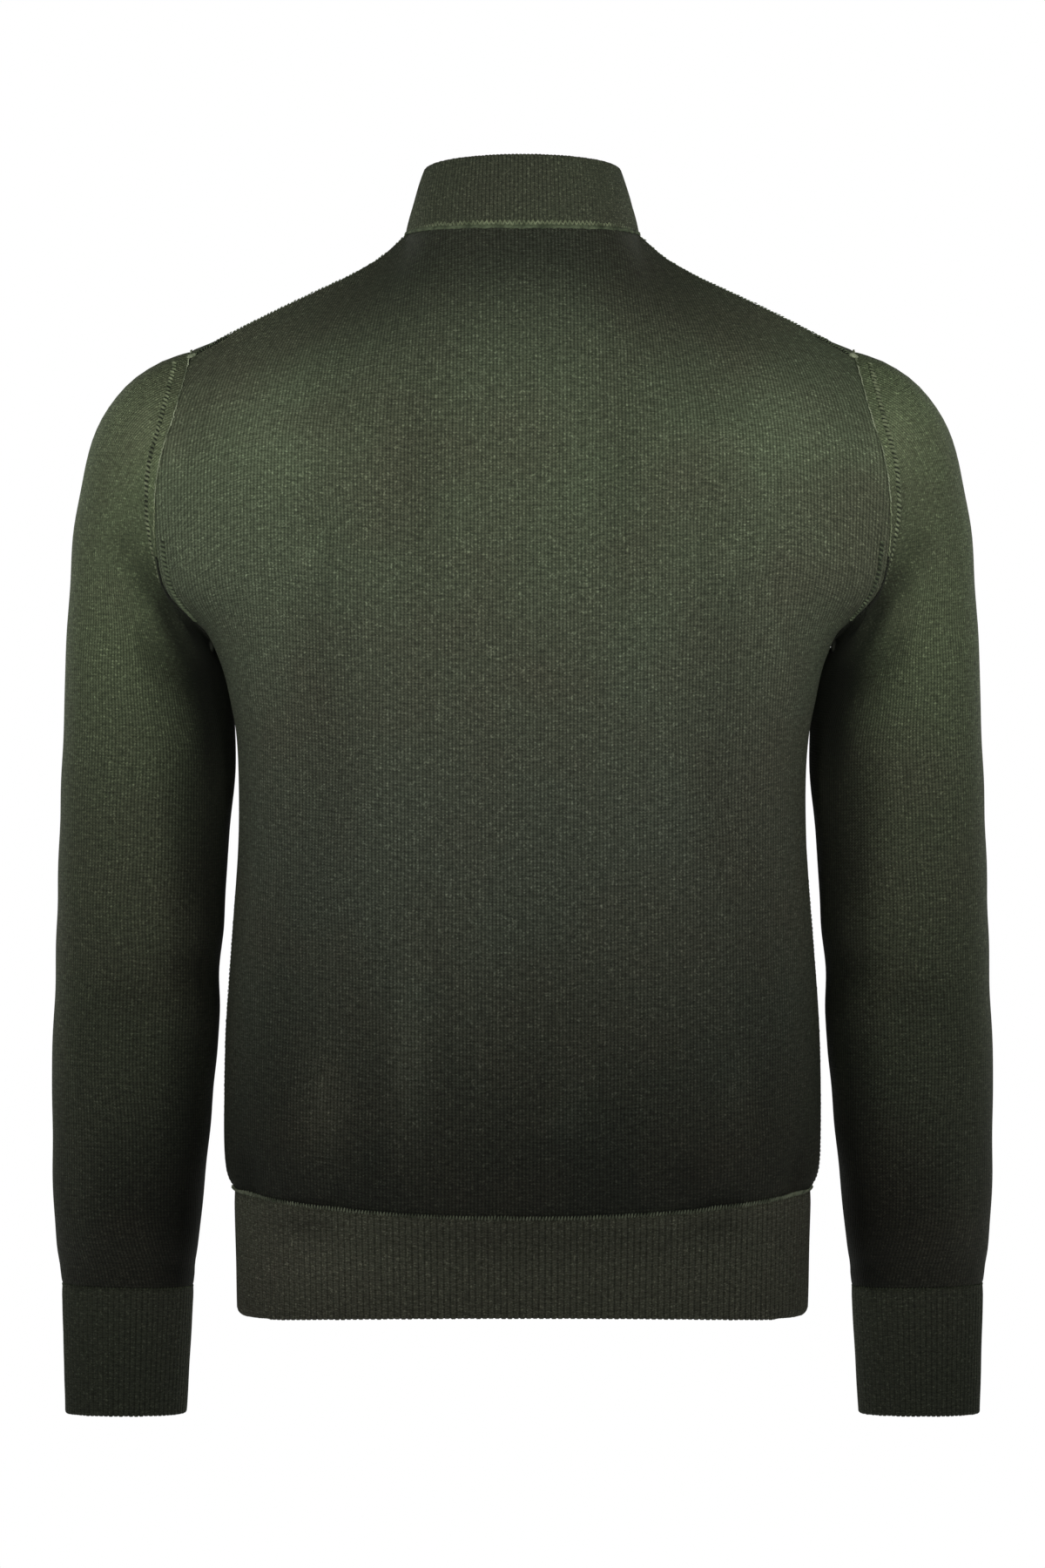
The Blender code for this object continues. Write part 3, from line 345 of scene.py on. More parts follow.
def normals_of(grid, closed=False):
    """Outward unit normals of a grid. A closed grid's columns run all the way round."""
    if closed:
        wide = np.concatenate([grid[:, -1:], grid, grid[:, :1]], axis=1)
        across = wide[:, 2:] - wide[:, :-2]
    else:
        across = np.gradient(grid, axis=1)
    return unit(np.cross(across, np.gradient(grid, axis=0)))


def relaxed(grid, rounds):
    """A panel with its points evened out along its columns. The bottom row, the top row
    and the outer edge stay where they are, and the last columns move less."""
    share = np.clip(np.arange(COLUMNS, -1, -1) / EVENING_FADE, 0, 1)[:, None]
    made = grid.copy()
    for _ in range(rounds):
        made[1:-1] += share * (made[:-2] - 2 * made[1:-1] + made[2:]) / 4
    return made


def panel(side):
    """Outer surface of the back (all of it, from left to right) or of the left front
    (from the zip to the edge), with rows from the hem seam to the shoulder."""
    table = section_rows(side)
    sections = np.stack([cross_section(row, side, COLUMNS) for row in table])
    last = len(table) - 1
    to_top = top_edge(side) - sections[last]
    soft = spread_out(to_top, CORNER_SPREAD)
    rise = np.clip((np.arange(last + 1) - YOKE_START) / (last - YOKE_START), 0, 1)[:, None, None]
    sections += rise**YOKE_POWER * soft + rise**CORNER_POWER * (to_top - soft)
    grid = relaxed(smooth(sections, row_numbers(side)), EVENING)
    if side > 0:
        grid = np.concatenate([grid[:, ::-1], mirrored(grid)[:, ::-1][:, 1:]], axis=1)
    height = fold_height(grid, BACK_FOLDS if side > 0 else FRONT_FOLDS)
    height[0] = 0
    return grid + height[..., None] * normals_of(grid)


def mirrored(grid):
    """The same grid on the other side of the body, with its columns turned round so
    that its normals still point out."""
    return grid[:, ::-1] * np.array([-1.0, 1.0, 1.0])


SIDES = (("left", 1), ("right", -1))
HALVES = (("left", lambda grid: grid, 1), ("right", mirrored, -1))  # with the columns' order


def oval(ring, shares):
    """A sleeve ring from its outer point round the front to its inner point, and on
    round the back to just before the outer point again: a superellipse that is squarer
    on the inner half. The shares divide the front half and the back half."""
    outer, inner = np.array(ring[0:3]), np.array(ring[3:6])
    half_depth, square = ring[6], ring[8]
    angle = np.linspace(0, math.pi, 2 * FINE)
    power = 2 / np.where(np.cos(angle) > 0, OUTER_SQUARE, square)
    across = np.sign(np.cos(angle)) * np.abs(np.cos(angle)) ** power
    depth = half_depth * np.sin(angle) ** power
    middle = (outer + inner) / 2 + across[:, None] * (outer - inner) / 2
    front = spread(middle - depth[:, None] * [0, 1, 0], shares[0])
    back = spread(middle + depth[:, None] * [0, 1, 0], shares[1])
    return np.concatenate([front, back[::-1][1:-1]])


def armhole(back, front):
    """The armhole as two lines from the ridge of the shoulder to the underarm, down the
    front and down the back. They are the panels' own edge points."""
    down_front = front[UNDERARM:-1, -1][::-1]
    down_back = np.concatenate([front[-2:, -1], back[UNDERARM:-1, 0][::-1]])
    return down_front, down_back


def shares_of(line):
    """The share of a polyline's length at each of its points."""
    run = run_of(line)
    return run / run[-1]


def sleeve(back, front):
    """Outer surface of the left sleeve as rings from the armhole to the cuff seam, with
    the shares that divide its rings. The armhole's form fades out over a few rings."""
    down_front, down_back = armhole(back, front)
    shares = (shares_of(down_front), shares_of(down_back))
    loop = np.concatenate([down_front, down_back[::-1][1:-1]])
    rings = np.stack([oval(ring, shares) for ring in SLEEVE_RINGS])
    form = np.array([ring[7] for ring in SLEEVE_RINGS])[:, None, None]
    rings = rings + form * (loop - rings[0])
    around = np.concatenate([0.5 * shares[0], 1 - 0.5 * shares[1][::-1][1:-1]])
    number = np.arange(len(rings))[:, None]
    height = np.zeros(rings.shape[:2])
    for at_inner, at_sides, *fold in SLEEVE_FOLDS:
        ring = at_inner + (at_sides - at_inner) * np.clip(np.abs(around - 0.5) / 0.25, 0, 1)
        height += tube_fold(number, around, ring, *fold)
    height[[0, -1]] = 0
    return rings + height[..., None] * normals_of(rings, closed=True), shares


def collar_level(row):
    """The left half of one level of the collar as two lines: Bezier quarters from the
    centre front to the side and on to the centre back."""
    side_x, side_y, side_z, back_y, back_z, front_y, front_z, inward = row
    side = np.array([side_x - inward, side_y, side_z])
    centre_back = np.array([0, back_y - inward, back_z])
    centre_front = np.array([PLACKET_X, front_y + inward, front_z])
    forward = COLLAR_HANDLE * np.array([0, -1, -COLLAR_SLOPE])
    across = COLLAR_HANDLE * np.array([1, 0, 0])
    front = bezier(centre_front, (side_x - PLACKET_X) * across, (side_y - front_y) * forward, side)
    back = bezier(side, -(back_y - side_y) * forward, side_x * across, centre_back)
    return np.concatenate([[[EDGE_X, *centre_front[1:]]], front]), back


def evened(values, count):
    """A run of vectors read at another number of even steps."""
    return read_along(values, np.arange(len(values)), np.linspace(0, len(values) - 1, count))


# Plain knit. The real cloth has a wale every 1.8 mm and a course every 1.2 mm, which is
# too fine to show in the picture, so both are drawn a little coarser.
WALE = 2.2
COURSE = 1.7

# Seam edges turn in over the last points of the cloth
EDGE_AT = (0.9, 2.2)  # how far from the edge the two closest rows of points lie
EDGE_TURN = (0.9, 0.3, 0.05)  # how far the edge and those rows turn in
STEP = 4.0  # spacing of the points of plain knit
COLLAR_STEP = 2.4  # and of the collar's, upwards
CLOSE = 24  # how many times closer a coarse line is read to measure it
EASE = 6  # rows and columns over which folds rise from a seam
PAD = 3  # columns of a tube that are repeated before it, with one more behind it
PLAIN_KNIT = 1.6  # thickness of the cloth that shows
RIB_HEIGHT = 0.6
RIB_POINTS = 8
RIB_PROFILE = np.array([0.0, 0.45, 0.95, 1.0, 0.86, 1.0, 0.95, 0.45])  # two wales to a rib
HEM_RIB = 3.8
CUFF_RIB = 3.5
COLLAR_RIB = 2.5
HEM_CORNER = 5.0
COLLAR_BOW = 1.8  # how far the collar swells beside the neck, halfway up
COLLAR_TUCK = (0.9, 1.6)  # how far the collar reaches in and down behind the neckline

# Soft folds over the shoulder blades, down the back and above the hem
BACK_SOFT = [
    # top x, top z, bottom x, bottom z, half width, height
    (118, -110, 112, -176, 46, 4.4),
    (-118, -110, -112, -176, 46, 4.1),
    (92, -168, 156, -220, 15, -2.7),
    (-92, -168, -156, -220, 15, -2.5),
    (126, -190, 134, -214, 16, 2.4),
    (-126, -190, -134, -214, 16, 2.4),
    (150, -235, 168, -292, 11, 2.2),
    (-150, -235, -168, -292, 11, 2.2),
    (30, -90, 24, -240, 26, -1.7),
    (-34, -100, -20, -250, 26, -1.5),
    (40, -290, 60, -430, 24, -2.4),
    (112, -400, 118, -520, 20, -3.1),
    (-84, -400, -96, -560, 18, 2.7),
    (0, -528, -56, -540, 12, 2.5),
    (40, -556, 104, -562, 9, -2),
    (165, -552, 163, -590, 5, -3.1),
    (-165, -552, -163, -590, 5, -2.7),
    (112, -572, 108, -600, 8, -2.7),
    (-116, -572, -120, -600, 8, -2.7),
    (20, -574, 8, -598, 9, -1.7),
]
FRONT_SOFT = [
    (120, -120, 96, -210, 34, 2.7),
    (158, -210, 118, -300, 12, 2.2),
    (64, -300, 50, -430, 22, -1.8),
    (150, -470, 128, -575, 14, 2.4),
    (40, -520, 34, -580, 12, 2.1),
    (164, -552, 162, -590, 6, -2.4),
]
SLEEVE_SOFT = [
    # ring, place round, half rings, half round, height (see SLEEVE_FOLDS)
    (4.2, 0.53, 2.2, 0.08, 3.2),
    (3.4, 0.66, 1.6, 0.05, -3),
    (4.6, 0.80, 0.9, 0.07, 2.2),
    (5.8, 0.72, 0.8, 0.07, -2.7),
    (6.8, 0.66, 0.8, 0.07, 2.1),
    (7.6, 0.86, 1.3, 0.08, 1.5),
    (9.5, 0.60, 0.28, 0.10, 3),
    (9.9, 0.62, 0.24, 0.10, -3),
    (10.3, 0.60, 0.28, 0.11, 2.7),
    (10.8, 0.40, 0.30, 0.10, 2.1),
    (11.4, 0.70, 0.50, 0.10, -1.8),
    (12.6, 0.80, 0.40, 0.12, 1.5),
    (13.3, 0.60, 0.25, 0.12, -1.5),
    (13.4, 0.95, 0.40, 0.16, -1.2),
]
# Soft patches where the colour is painted paler (positive) or deeper, in stops: painted
# light on the shoulder blades and sleeves, painted shade at the underarms, in creases and
# above the hem seam, and in part uneven dye
BACK_PAINTED_LIGHT_AND_DYE = [
    # x, z, half width, half height, stops, both sides
    (0, -12, 100, 24, -0.55, False),
    (78, -30, 40, 26, -0.40, True),
    (118, -50, 30, 22, -0.20, True),
    (153, -118, 46, 34, 0.42, True),
    (212, -132, 9, 24, 0.30, True),
    (60, -150, 15, 70, -0.22, True),
    (117, -300, 20, 140, -0.28, True),
    (143, -450, 17, 110, -0.28, True),
    (178, -380, 7, 90, 0.35, True),
    (168, -572, 9, 20, -0.8, True),
    (128, -198, 7, 9, 0.35, False),
    (-122, -198, 7, 9, 0.35, False),
    (68, -508, 13, 66, 0.70, False),
    (-128, -515, 10, 24, 0.40, False),
    (-31, -520, 12, 22, 0.30, False),
    (30, -480, 20, 100, 0.20, False),
    (118, -532, 16, 36, 0.70, False),
    (-20, -535, 16, 7, 0.35, False),
    (130, -586, 16, 7, -1, False),
    (-117, -586, 16, 7, -1, False),
    (-100, -567, 15, 12, -0.55, False),
]
SLEEVE_PAINTED_LIGHT_AND_DYE = [
    (226, -213, 7, 10, -0.9, True),
    (212, -224, 9, 13, -2.2, True),
    (202, -241, 10, 14, -2.4, True),
    (193, -263, 10, 18, -2.6, True),
    (187, -293, 9, 26, -2.2, True),
    (239, -190, 8, 11, -0.45, True),
    (230, -203, 8, 9, -0.45, True),
    (202, -380, 11, 55, -0.5, True),
    (191, -520, 9, 50, 1.2, True),
    (203, -600, 10, 14, -0.5, True),
    (222, -128, 12, 30, 0.45, True),
    (245, -110, 26, 42, 0.40, True),
    (281, -320, 13, 200, 0.45, True),
    (235, -462, 24, 13, -0.35, True),
    (252, -530, 30, 40, 0.40, True),
    (272, -590, 15, 52, 0.95, True),
    (280, -490, 8, 50, 0.40, True),
    (230, -590, 10, 30, -0.30, True),
    (-228, -600, 16, 40, -0.30, False),
]
COLLAR_PAINTED_LIGHT_AND_DYE = [
    (68, 16, 9, 26, 0.40, True),
]
HEM_PAINTED_LIGHT_AND_DYE = [
    (-20, -604, 115, 13, -0.50, False),
    (130, -597, 16, 6, -0.6, False),
    (-117, -597, 16, 6, -0.6, False),
    (120, -622, 50, 24, 0.35, False),
]
# the pieces that carry these patches of painted light and shade
PAINTED_LIGHT_AND_DYE = {"back_panel": BACK_PAINTED_LIGHT_AND_DYE, "hem_rib_back": HEM_PAINTED_LIGHT_AND_DYE, "collar_rib": COLLAR_PAINTED_LIGHT_AND_DYE}
for side in ("left", "right"):
    PAINTED_LIGHT_AND_DYE["front_panel_" + side] = BACK_PAINTED_LIGHT_AND_DYE[:4]
    PAINTED_LIGHT_AND_DYE["sleeve_" + side + "_knit"] = SLEEVE_PAINTED_LIGHT_AND_DYE
WAVES = 9  # slow waves that are summed for the cloth's own unevenness
WAVE_LENGTHS = (38.0, 120.0)
WAVE_HEIGHT = 0.16


def marks(line, step, near=()):
    """Fractional point numbers that divide a coarse line into even steps, with more
    points this near to each end, where the edge of the cloth turns in."""
    numbers = np.linspace(0, len(line) - 1, CLOSE * len(line))
    run = run_of(smooth(line, numbers))
    near, length = np.array(near), run[-1]
    middle = np.linspace(0, length, round(length / step) + 1)[1:-1]
    wanted = np.concatenate([[0], near, middle, length - near[::-1], [length]])
    return np.interp(wanted, run, numbers)


def resampled(grid, rows, columns):
    """A coarse grid read at fractional rows and columns on smooth curves. Close to the
    last row the columns go over to straight lines, so that its corner stays sharp."""
    made = smooth(grid, rows)
    low = np.minimum(columns.astype(int), grid.shape[1] - 2)
    t = (columns - low)[None, :, None]
    straight = (1 - t) * made[:, low] + t * made[:, low + 1]
    curved = smooth(made.swapaxes(0, 1), columns).swapaxes(0, 1)
    share = np.clip(1 - (len(grid) - 1 - rows) / 0.8, 0, 1)[:, None, None] ** 2
    return curved + share * (straight - curved)


def down_columns(grid, distance):
    """The point at this distance down each column of a grid, on the straight line
    between the two points before and behind it."""
    run = np.cumsum(np.linalg.norm(np.diff(grid, axis=0), axis=2), axis=0)
    run = np.concatenate([np.zeros((1, grid.shape[1])), run])
    column = np.arange(grid.shape[1])
    row = (run <= distance).sum(axis=0) - 1
    t = ((distance - run[row, column]) / (run[row + 1, column] - run[row, column]))[:, None]
    return (1 - t) * grid[row, column] + t * grid[row + 1, column]


def slow_waves(points, seed):
    """Unevenness of the cloth: sine waves of seeded directions and lengths, summed."""
    dice = np.random.default_rng(seed)
    total = np.zeros(points.shape[:-1])
    for _ in range(WAVES):
        direction = unit(dice.normal(size=3))
        length = dice.uniform(*WAVE_LENGTHS)
        total += np.sin(2 * np.pi * (points @ direction) / length + dice.uniform(0, 6.3))
    return WAVE_HEIGHT * total


def off_edges(shape, across):
    """A weight that rises from 0 at a grid's edges to 1 some points inside."""

    def inside(count):
        return np.clip(np.minimum(np.arange(count), np.arange(count)[::-1]) / EASE, 0, 1)

    weight = inside(shape[0])[:, None] * (inside(shape[1]) if across else np.ones(shape[1]))
    return weight * weight * (3 - 2 * weight)


def turned_in(grid, normals, edges):
    """A grid whose edges bend inwards along its normals. The edges are those at the
    first row, the last row, the first column and the last column."""
    depth = np.zeros(grid.shape[:2])
    for k, turn in enumerate(EDGE_TURN):
        lines = (depth[k], depth[-1 - k], depth[:, k], depth[:, -1 - k])
        for line in [line for line, turns in zip(lines, edges) if turns]:
            np.maximum(line, turn, out=line)
    return grid - depth[..., None] * normals


def knit_map(grid, middle):
    """Places on the knitted cloth in centimetres: across is the distance along each row
    from the middle column, and up is the distance up each column."""
    across = np.cumsum(np.linalg.norm(np.diff(grid, axis=1), axis=2), axis=1)
    across = np.pad(across, ((0, 0), (1, 0)))
    up = np.cumsum(np.linalg.norm(np.diff(grid, axis=0), axis=2), axis=0)
    up = np.pad(up, ((1, 0), (0, 0)))
    return np.stack([across - across[:, middle : middle + 1], up], axis=2) / 10


def painted_light_and_dye(points, patches):
    """How much paler or deeper the colour is painted at each point, for painted light and
    shade and uneven dye: two to the power of a sum of soft patches, each of which falls off
    as a bell across and up."""
    stops = np.zeros(len(points))
    for x, z, wide, high, amount, both in patches:
        for side in (1, -1) if both else (1,):
            across, up = (points[:, 0] - side * x) / wide, (points[:, 2] - z) / high
            stops += amount * np.exp(-(across**2) - up**2)
    return 2.0**stops


def placed(name, mesh, material):
    """The object at the origin that shows a finished mesh."""
    mesh.materials.clear()
    mesh.materials.append(material)
    made = bpy.data.objects.new(name, mesh)
    bpy.context.scene.collection.objects.link(made)
    return made


def mesh_object(name, points, faces, material, places=None, smooth_faces=True):
    """A named object from points in millimetres and faces. Cloth also has a place on the
    knit for every corner of every face, and at each point the factor of its painted light
    and shade and uneven dye."""
    mesh = bpy.data.meshes.new(name)
    mesh.from_pydata((points * MM).tolist(), [], faces)
    if places is not None:
        painted_light_and_dye_factor = mesh.attributes.new("Painted_light_and_dye", "FLOAT", "POINT")
        strength = painted_light_and_dye(points, PAINTED_LIGHT_AND_DYE.get(name, []))
        painted_light_and_dye_factor.data.foreach_set("value", strength.astype(np.float32))
        layer = mesh.uv_layers.new(name="Knit")
        layer.data.foreach_set("uv", places.astype(np.float32).ravel())
    mesh.polygons.foreach_set("use_smooth", np.full(len(mesh.polygons), smooth_faces))
    return placed(name, mesh, material)


def quads_of(rows, columns, closed):
    """Vertex numbers of the faces of a grid, and the grid places of their corners."""
    across = np.arange(columns if closed else columns - 1)
    r, c = np.meshgrid(np.arange(rows - 1), across, indexing="ij")
    corners = [(r, c), (r, c + 1), (r + 1, c + 1), (r + 1, c)]
    corners = np.array(corners).reshape(4, 2, -1).transpose(2, 0, 1)
    return corners[..., 0] * columns + corners[..., 1] % columns, corners


def cloth_shell(name, outer, inner, places, material, closed=False):
    """Cloth with a thickness: an outer and an inner grid of the same size, joined along
    their first and last rows, and along their sides unless it runs round as a tube.
    The places of a closed grid have one column more than the grid."""
    rows, columns = outer.shape[:2]
    count = rows * columns
    out, corners = quads_of(rows, columns, closed)
    faces, where = [out, out[:, ::-1] + count], [corners, corners[:, ::-1]]
    c, r = np.arange(columns if closed else columns - 1), np.arange(rows - 1)
    edges = []
    for row, turn in ((0, 1), (rows - 1, -1)):
        edges.append(((row, c), (row, c + 1), (0, 2, 3, 1)[::turn]))
    if not closed:
        for column, turn in ((0, 1), (columns - 1, -1)):
            edges.append(((r, column), (r + 1, column), (0, 1, 3, 2)[::turn]))
    for start, end, order in edges:
        ends = [np.stack(np.broadcast_arrays(*place), axis=-1) for place in (start, end)]
        place = np.stack(ends * 2, axis=1)
        number = place[..., 0] * columns + place[..., 1] % columns + [0, 0, count, count]
        faces.append(number[:, order])
        where.append(place[:, order])
    faces, where = np.concatenate(faces), np.concatenate(where)
    points = np.concatenate([outer.reshape(-1, 3), inner.reshape(-1, 3)])
    places = places[where[..., 0], where[..., 1]]
    return mesh_object(name, points, faces.tolist(), material, places)


def fine_panel(grid, soft_folds, seed, edges):
    """A panel of plain knit on the solid's surface: its finer outer grid with the soft
    folds on it, that grid with its edges turned in, and its normals."""
    rows = marks(grid[:, COLUMNS // 2], STEP, EDGE_AT)
    columns = marks(grid[UNDERARM], STEP, EDGE_AT)
    made = resampled(grid, rows, columns)
    weight = off_edges(made.shape, True)
    height = weight * (fold_height(made, soft_folds) + slow_waves(made, seed))
    made = made + height[..., None] * normals_of(made)
    normals = normals_of(made)
    return made, turned_in(made, normals, edges), normals


def fine_sleeve(rings):
    """The left sleeve's finer outer grid, from the armhole to the cuff. Its columns
    divide the middle ring evenly, on a curve that runs on past both of its ends."""
    count = len(rings[0])
    rows = marks(rings[:, count // 4], STEP, EDGE_AT)
    padded = np.concatenate([rings[:, -PAD:], rings, rings[:, : PAD + 1]], axis=1)
    ring = padded[len(rings) // 2]
    numbers = np.linspace(0, len(ring) - 1, CLOSE * len(ring))
    run = run_of(smooth(ring, numbers))
    start, end = np.interp([PAD, PAD + count], numbers, run)
    wanted = np.linspace(start, end, round((end - start) / STEP) + 1)[:-1]
    columns = np.interp(wanted, run, numbers)
    made = smooth(smooth(padded, rows).swapaxes(0, 1), columns).swapaxes(0, 1)
    height = slow_waves(made, 5)
    for fold in SLEEVE_SOFT:
        height += tube_fold(rows[:, None], (columns - PAD) / count, *fold)
    height *= off_edges(made.shape, False)
    return made + height[..., None] * normals_of(made, closed=True)


def rolled_edge(rows, normals, up, thickness):
    """The profile of a ribbed band carried on over its free edge: the outer rows, then
    half of a half circle, and the inner rows with the other half. It gives the outer
    and inner grids and the directions in which their ribs stand out."""
    radius = thickness / 2
    outer, inner = [rows], [rows - thickness * normals]
    out_way, in_way = [normals], [-normals]
    top, normal = rows[-1], normals[-1]
    for angle in np.radians([30, 60, 85]):
        level, rise = math.cos(angle), math.sin(angle)
        outer.append((top - radius * (1 - level) * normal + rise * radius * up)[None])
        inner.append((top - radius * (1 + level) * normal + rise * radius * up)[None])
        out_way.append((level * normal + rise * up)[None])
        in_way.append((-level * normal + rise * up)[None])
    return tuple(np.concatenate(part) for part in (outer, inner, out_way, in_way))


def rib_heights(rows, columns, seed):
    """Heights of 2x2 ribs on a grid with RIB_POINTS columns to a rib: the rib's profile,
    a little higher or lower from rib to rib and along each rib."""
    dice = np.random.default_rng(seed)
    rib, point = np.divmod(np.arange(columns), RIB_POINTS)
    own = dice.uniform(0.75, 1.1, columns // RIB_POINTS + 2)[rib]
    start = dice.uniform(0, 6.3, columns // RIB_POINTS + 2)[rib]
    along = 0.12 * np.sin(np.arange(rows)[:, None] * 0.55 + start)
    return RIB_HEIGHT * RIB_PROFILE[point] * (own + along)


def ribbed_band(name, rows, closed, thickness, pitch, seed, material, height=1.0, turn=True):
    """A ribbed band from its outer rows, which start at the seam and end at the free
    edge, with ribs outside and in."""
    normals = normals_of(rows, closed)
    up = unit(rows[-1] - rows[-2])
    outer, inner, out_way, in_way = rolled_edge(rows, normals, up, thickness)
    raised = height * rib_heights(*outer.shape[:2], seed)
    seam = np.ones(len(outer))
    if turn:
        seam[:2] = (0.15, 0.7)
    outer = outer + (raised * seam[:, None])[..., None] * out_way
    inner = inner + (0.5 * raised * seam[:, None])[..., None] * in_way
    whole = np.concatenate([outer, outer[:, :1]], axis=1) if closed else outer
    places = knit_map(whole, 0)
    places[..., 0] = (np.arange(whole.shape[1]) + 0.5) / RIB_POINTS * pitch / 10
    return cloth_shell(name, outer, inner, places, material, closed)


def rib_line(line, pitch, closed=False):
    """Even shares of a line, RIB_POINTS to each rib."""
    count = RIB_POINTS * round(run_of(line)[-1] / pitch)
    return np.linspace(0, 1, count + 1)[: -1 if closed else None]


def even_line(line, shares):
    """The points of a coarse line at these shares of its length, on a smooth curve."""
    curve = smooth(line, np.linspace(0, len(line) - 1, 16 * len(line)))
    return spread(curve, shares)


def rounded_corners(rows, radius):
    """Rows whose last few draw in at the garment's sides along a quarter circle."""
    left = np.linalg.norm(rows - rows[-1:], axis=2)
    t = np.clip(1 - left / radius, 0, 1)
    reach = np.abs(rows[-1, :, 0])
    share = np.clip(reach / reach.max() * 8 - 7, 0, 1)
    rows = rows.copy()
    rows[..., 0] -= np.sign(rows[..., 0]) * share * radius * (1 - np.sqrt(1 - t * t))
    return rows


def between(first, last, count):
    """Rows from one line to another at even steps, and closer ones before the last."""
    t = np.linspace(0, 1, count)
    t = np.concatenate([t[t < 0.95], [0.965, 0.98, 0.992, 1]])[:, None, None]
    return (1 - t) * first + t * last


def beads(name, places, along, out, size, material):
    """One mesh of many small stitches: each is a six-sided double cone, rounded, with
    its length along, its height out, and its width across both."""
    ring = np.radians(np.arange(6) * 60)
    circle = np.stack([np.cos(ring), np.sin(ring)], axis=1)
    shape = [(-1.0, 0.0, 0.0)]
    for level, wide in ((-0.62, 0.72), (0.0, 1.0), (0.62, 0.72)):
        shape += [(level, wide * x, wide * y) for x, y in circle]
    shape = np.array(shape + [(1.0, 0.0, 0.0)]) * np.array(size) / 2
    along, out = unit(along), unit(out)
    across = unit(np.cross(out, along))
    axes = np.stack([along, across, np.cross(along, across)], axis=1)
    points = places[:, None] + np.einsum("sk,nkc->nsc", shape, axes)
    faces = []
    for k in range(6):
        following = (k + 1) % 6
        faces.append((0, 1 + following, 1 + k, 1 + k))
        faces.append((13 + k, 13 + following, 19, 19))
        for level in (1, 7):
            faces.append((level + k, level + following, level + 6 + following, level + 6 + k))
    numbers = np.array(faces)[None] + (np.arange(len(places)) * len(shape))[:, None, None]
    corners = [list(dict.fromkeys(face)) for face in numbers.reshape(-1, 4).tolist()]
    return mesh_object(name, points.reshape(-1, 3), corners, material)


def along_line(line, normals, pitch, phase):
    """Points at an even pitch along a line, the first this share of the pitch from its
    start, with its direction and its normals there."""
    run, number = run_of(line), np.arange(len(line))
    at = np.interp(np.arange(phase * pitch, run[-1], pitch), run, number)
    way = unit(np.gradient(line, axis=0))
    places, way, out = (read_along(values, number, at) for values in (line, way, normals))
    return places, unit(way), unit(out)


# Zip: its path runs up the edge of the front, and depths are measured in from there
TEETH_FROM, TEETH_TO = 8.3, 20.1  # distances from the ends of the path
TOOTH_PITCH = 2.5
TOOTH = (  # distance from the centre line, half height, and how much thinner it is there
    (2.9, 0.62, 0.25),
    (1.2, 0.62, 0.0),
    (0.1, 0.50, 0.1),
    (-0.7, 0.42, 0.25),
)
TEETH_DEPTH = (-0.2, 1.9)
TAPE_X = (1.3, 12.8)
TAPE_DEPTH = (0.35, 1.1)  # behind the inner face of the cloth
EASED_EDGE = 0.25  # width of the bevel along the fittings' edges


def zip_line(front):
    """The solid's own zip path as points with x 0, and the thickness of the cloth at
    each: the hem's edge, the edge of the front and the first levels of the collar."""
    hem = [(0, *HEM_END[4:6])]
    levels = [(0, row[5], row[6]) for row in COLLAR_ROWS[:2]]
    line = np.concatenate([hem, front[:, 0] * [0, 1, 1], levels])
    thickness = np.array([CLOTH] * len(front) + [COLLAR_CLOTH] * 3)
    return line, thickness


def zip_frame(line, thickness, wanted):
    """Points at distances up the zip, their up and outward directions, and the
    thickness of the cloth there."""
    run = run_of(line)
    point, ahead, behind = (read_along(line, run, wanted + step) for step in (0, 2, -2))
    up = unit(ahead - behind)
    return point, up, np.cross([1.0, 0.0, 0.0], up), np.interp(wanted, run, thickness)


def zip_teeth(name, line, thickness, side, material):
    """Moulded teeth up one side, at an even pitch, half a pitch apart from the other
    side's: a block on the tape with a narrower nose that passes the centre line."""
    first = TEETH_FROM + TOOTH_PITCH * (0.6 if side > 0 else 1.1)
    wanted = np.arange(first, run_of(line)[-1] - TEETH_TO, TOOTH_PITCH)
    point, up, out, _ = zip_frame(line, thickness, wanted)
    shape = []
    for x, half, thinner in TOOTH:
        near, far = TEETH_DEPTH[0] + thinner, TEETH_DEPTH[1] - thinner
        section = ((near, -half), (near, half), (far, half), (far, -half))
        shape += [(side * x, level, -depth) for depth, level in section]
    shape = np.array(shape)
    axes = np.stack([np.broadcast_to([1.0, 0, 0], up.shape), up, out], axis=1)
    points = point[:, None] + np.einsum("sk,nkc->nsc", shape, axes)
    faces = [(0, 1, 2, 3), (15, 14, 13, 12)]
    for level in (0, 4, 8):
        for k in range(4):
            here, beside = level + k, level + (k + 1) % 4
            faces.append((here, here + 4, beside + 4, beside))
    faces = np.array(faces)[:, :: int(side)]
    numbers = faces[None] + (np.arange(len(point)) * len(shape))[:, None, None]
    numbers = numbers.reshape(-1, 4).tolist()
    return mesh_object(name, points.reshape(-1, 3), numbers, material, smooth_faces=False)


def zip_tape(name, line, thickness, side, material):
    """A woven tape behind the edge of the front: a flat strip with a thicker corded
    edge towards the teeth."""
    length = run_of(line)[-1]
    wanted = np.linspace(0.2, length - 0.2, round(length / 6))
    point, _, out, cloth = zip_frame(line, thickness, wanted)
    across = np.array([TAPE_X[0], 1.8, 2.6, 3.2, 6.0, 9.0, 11.8, TAPE_X[1]])
    proud = np.array([0.0, 0.25, 0.25, 0.0, 0.0, 0.0, 0.0, 0.0])
    if side < 0:
        across, proud = -across[::-1], proud[::-1]
    grids = []
    for depth, swell in ((TAPE_DEPTH[0], -0.6 * proud), (TAPE_DEPTH[1], proud)):
        inwards = cloth[:, None] + depth + swell[None, :]
        grid = point[:, None] - inwards[..., None] * out[:, None]
        grid[..., 0] += across
        grids.append(grid)
    return cloth_shell(name, grids[0], grids[1], knit_map(grids[0], 0), material)


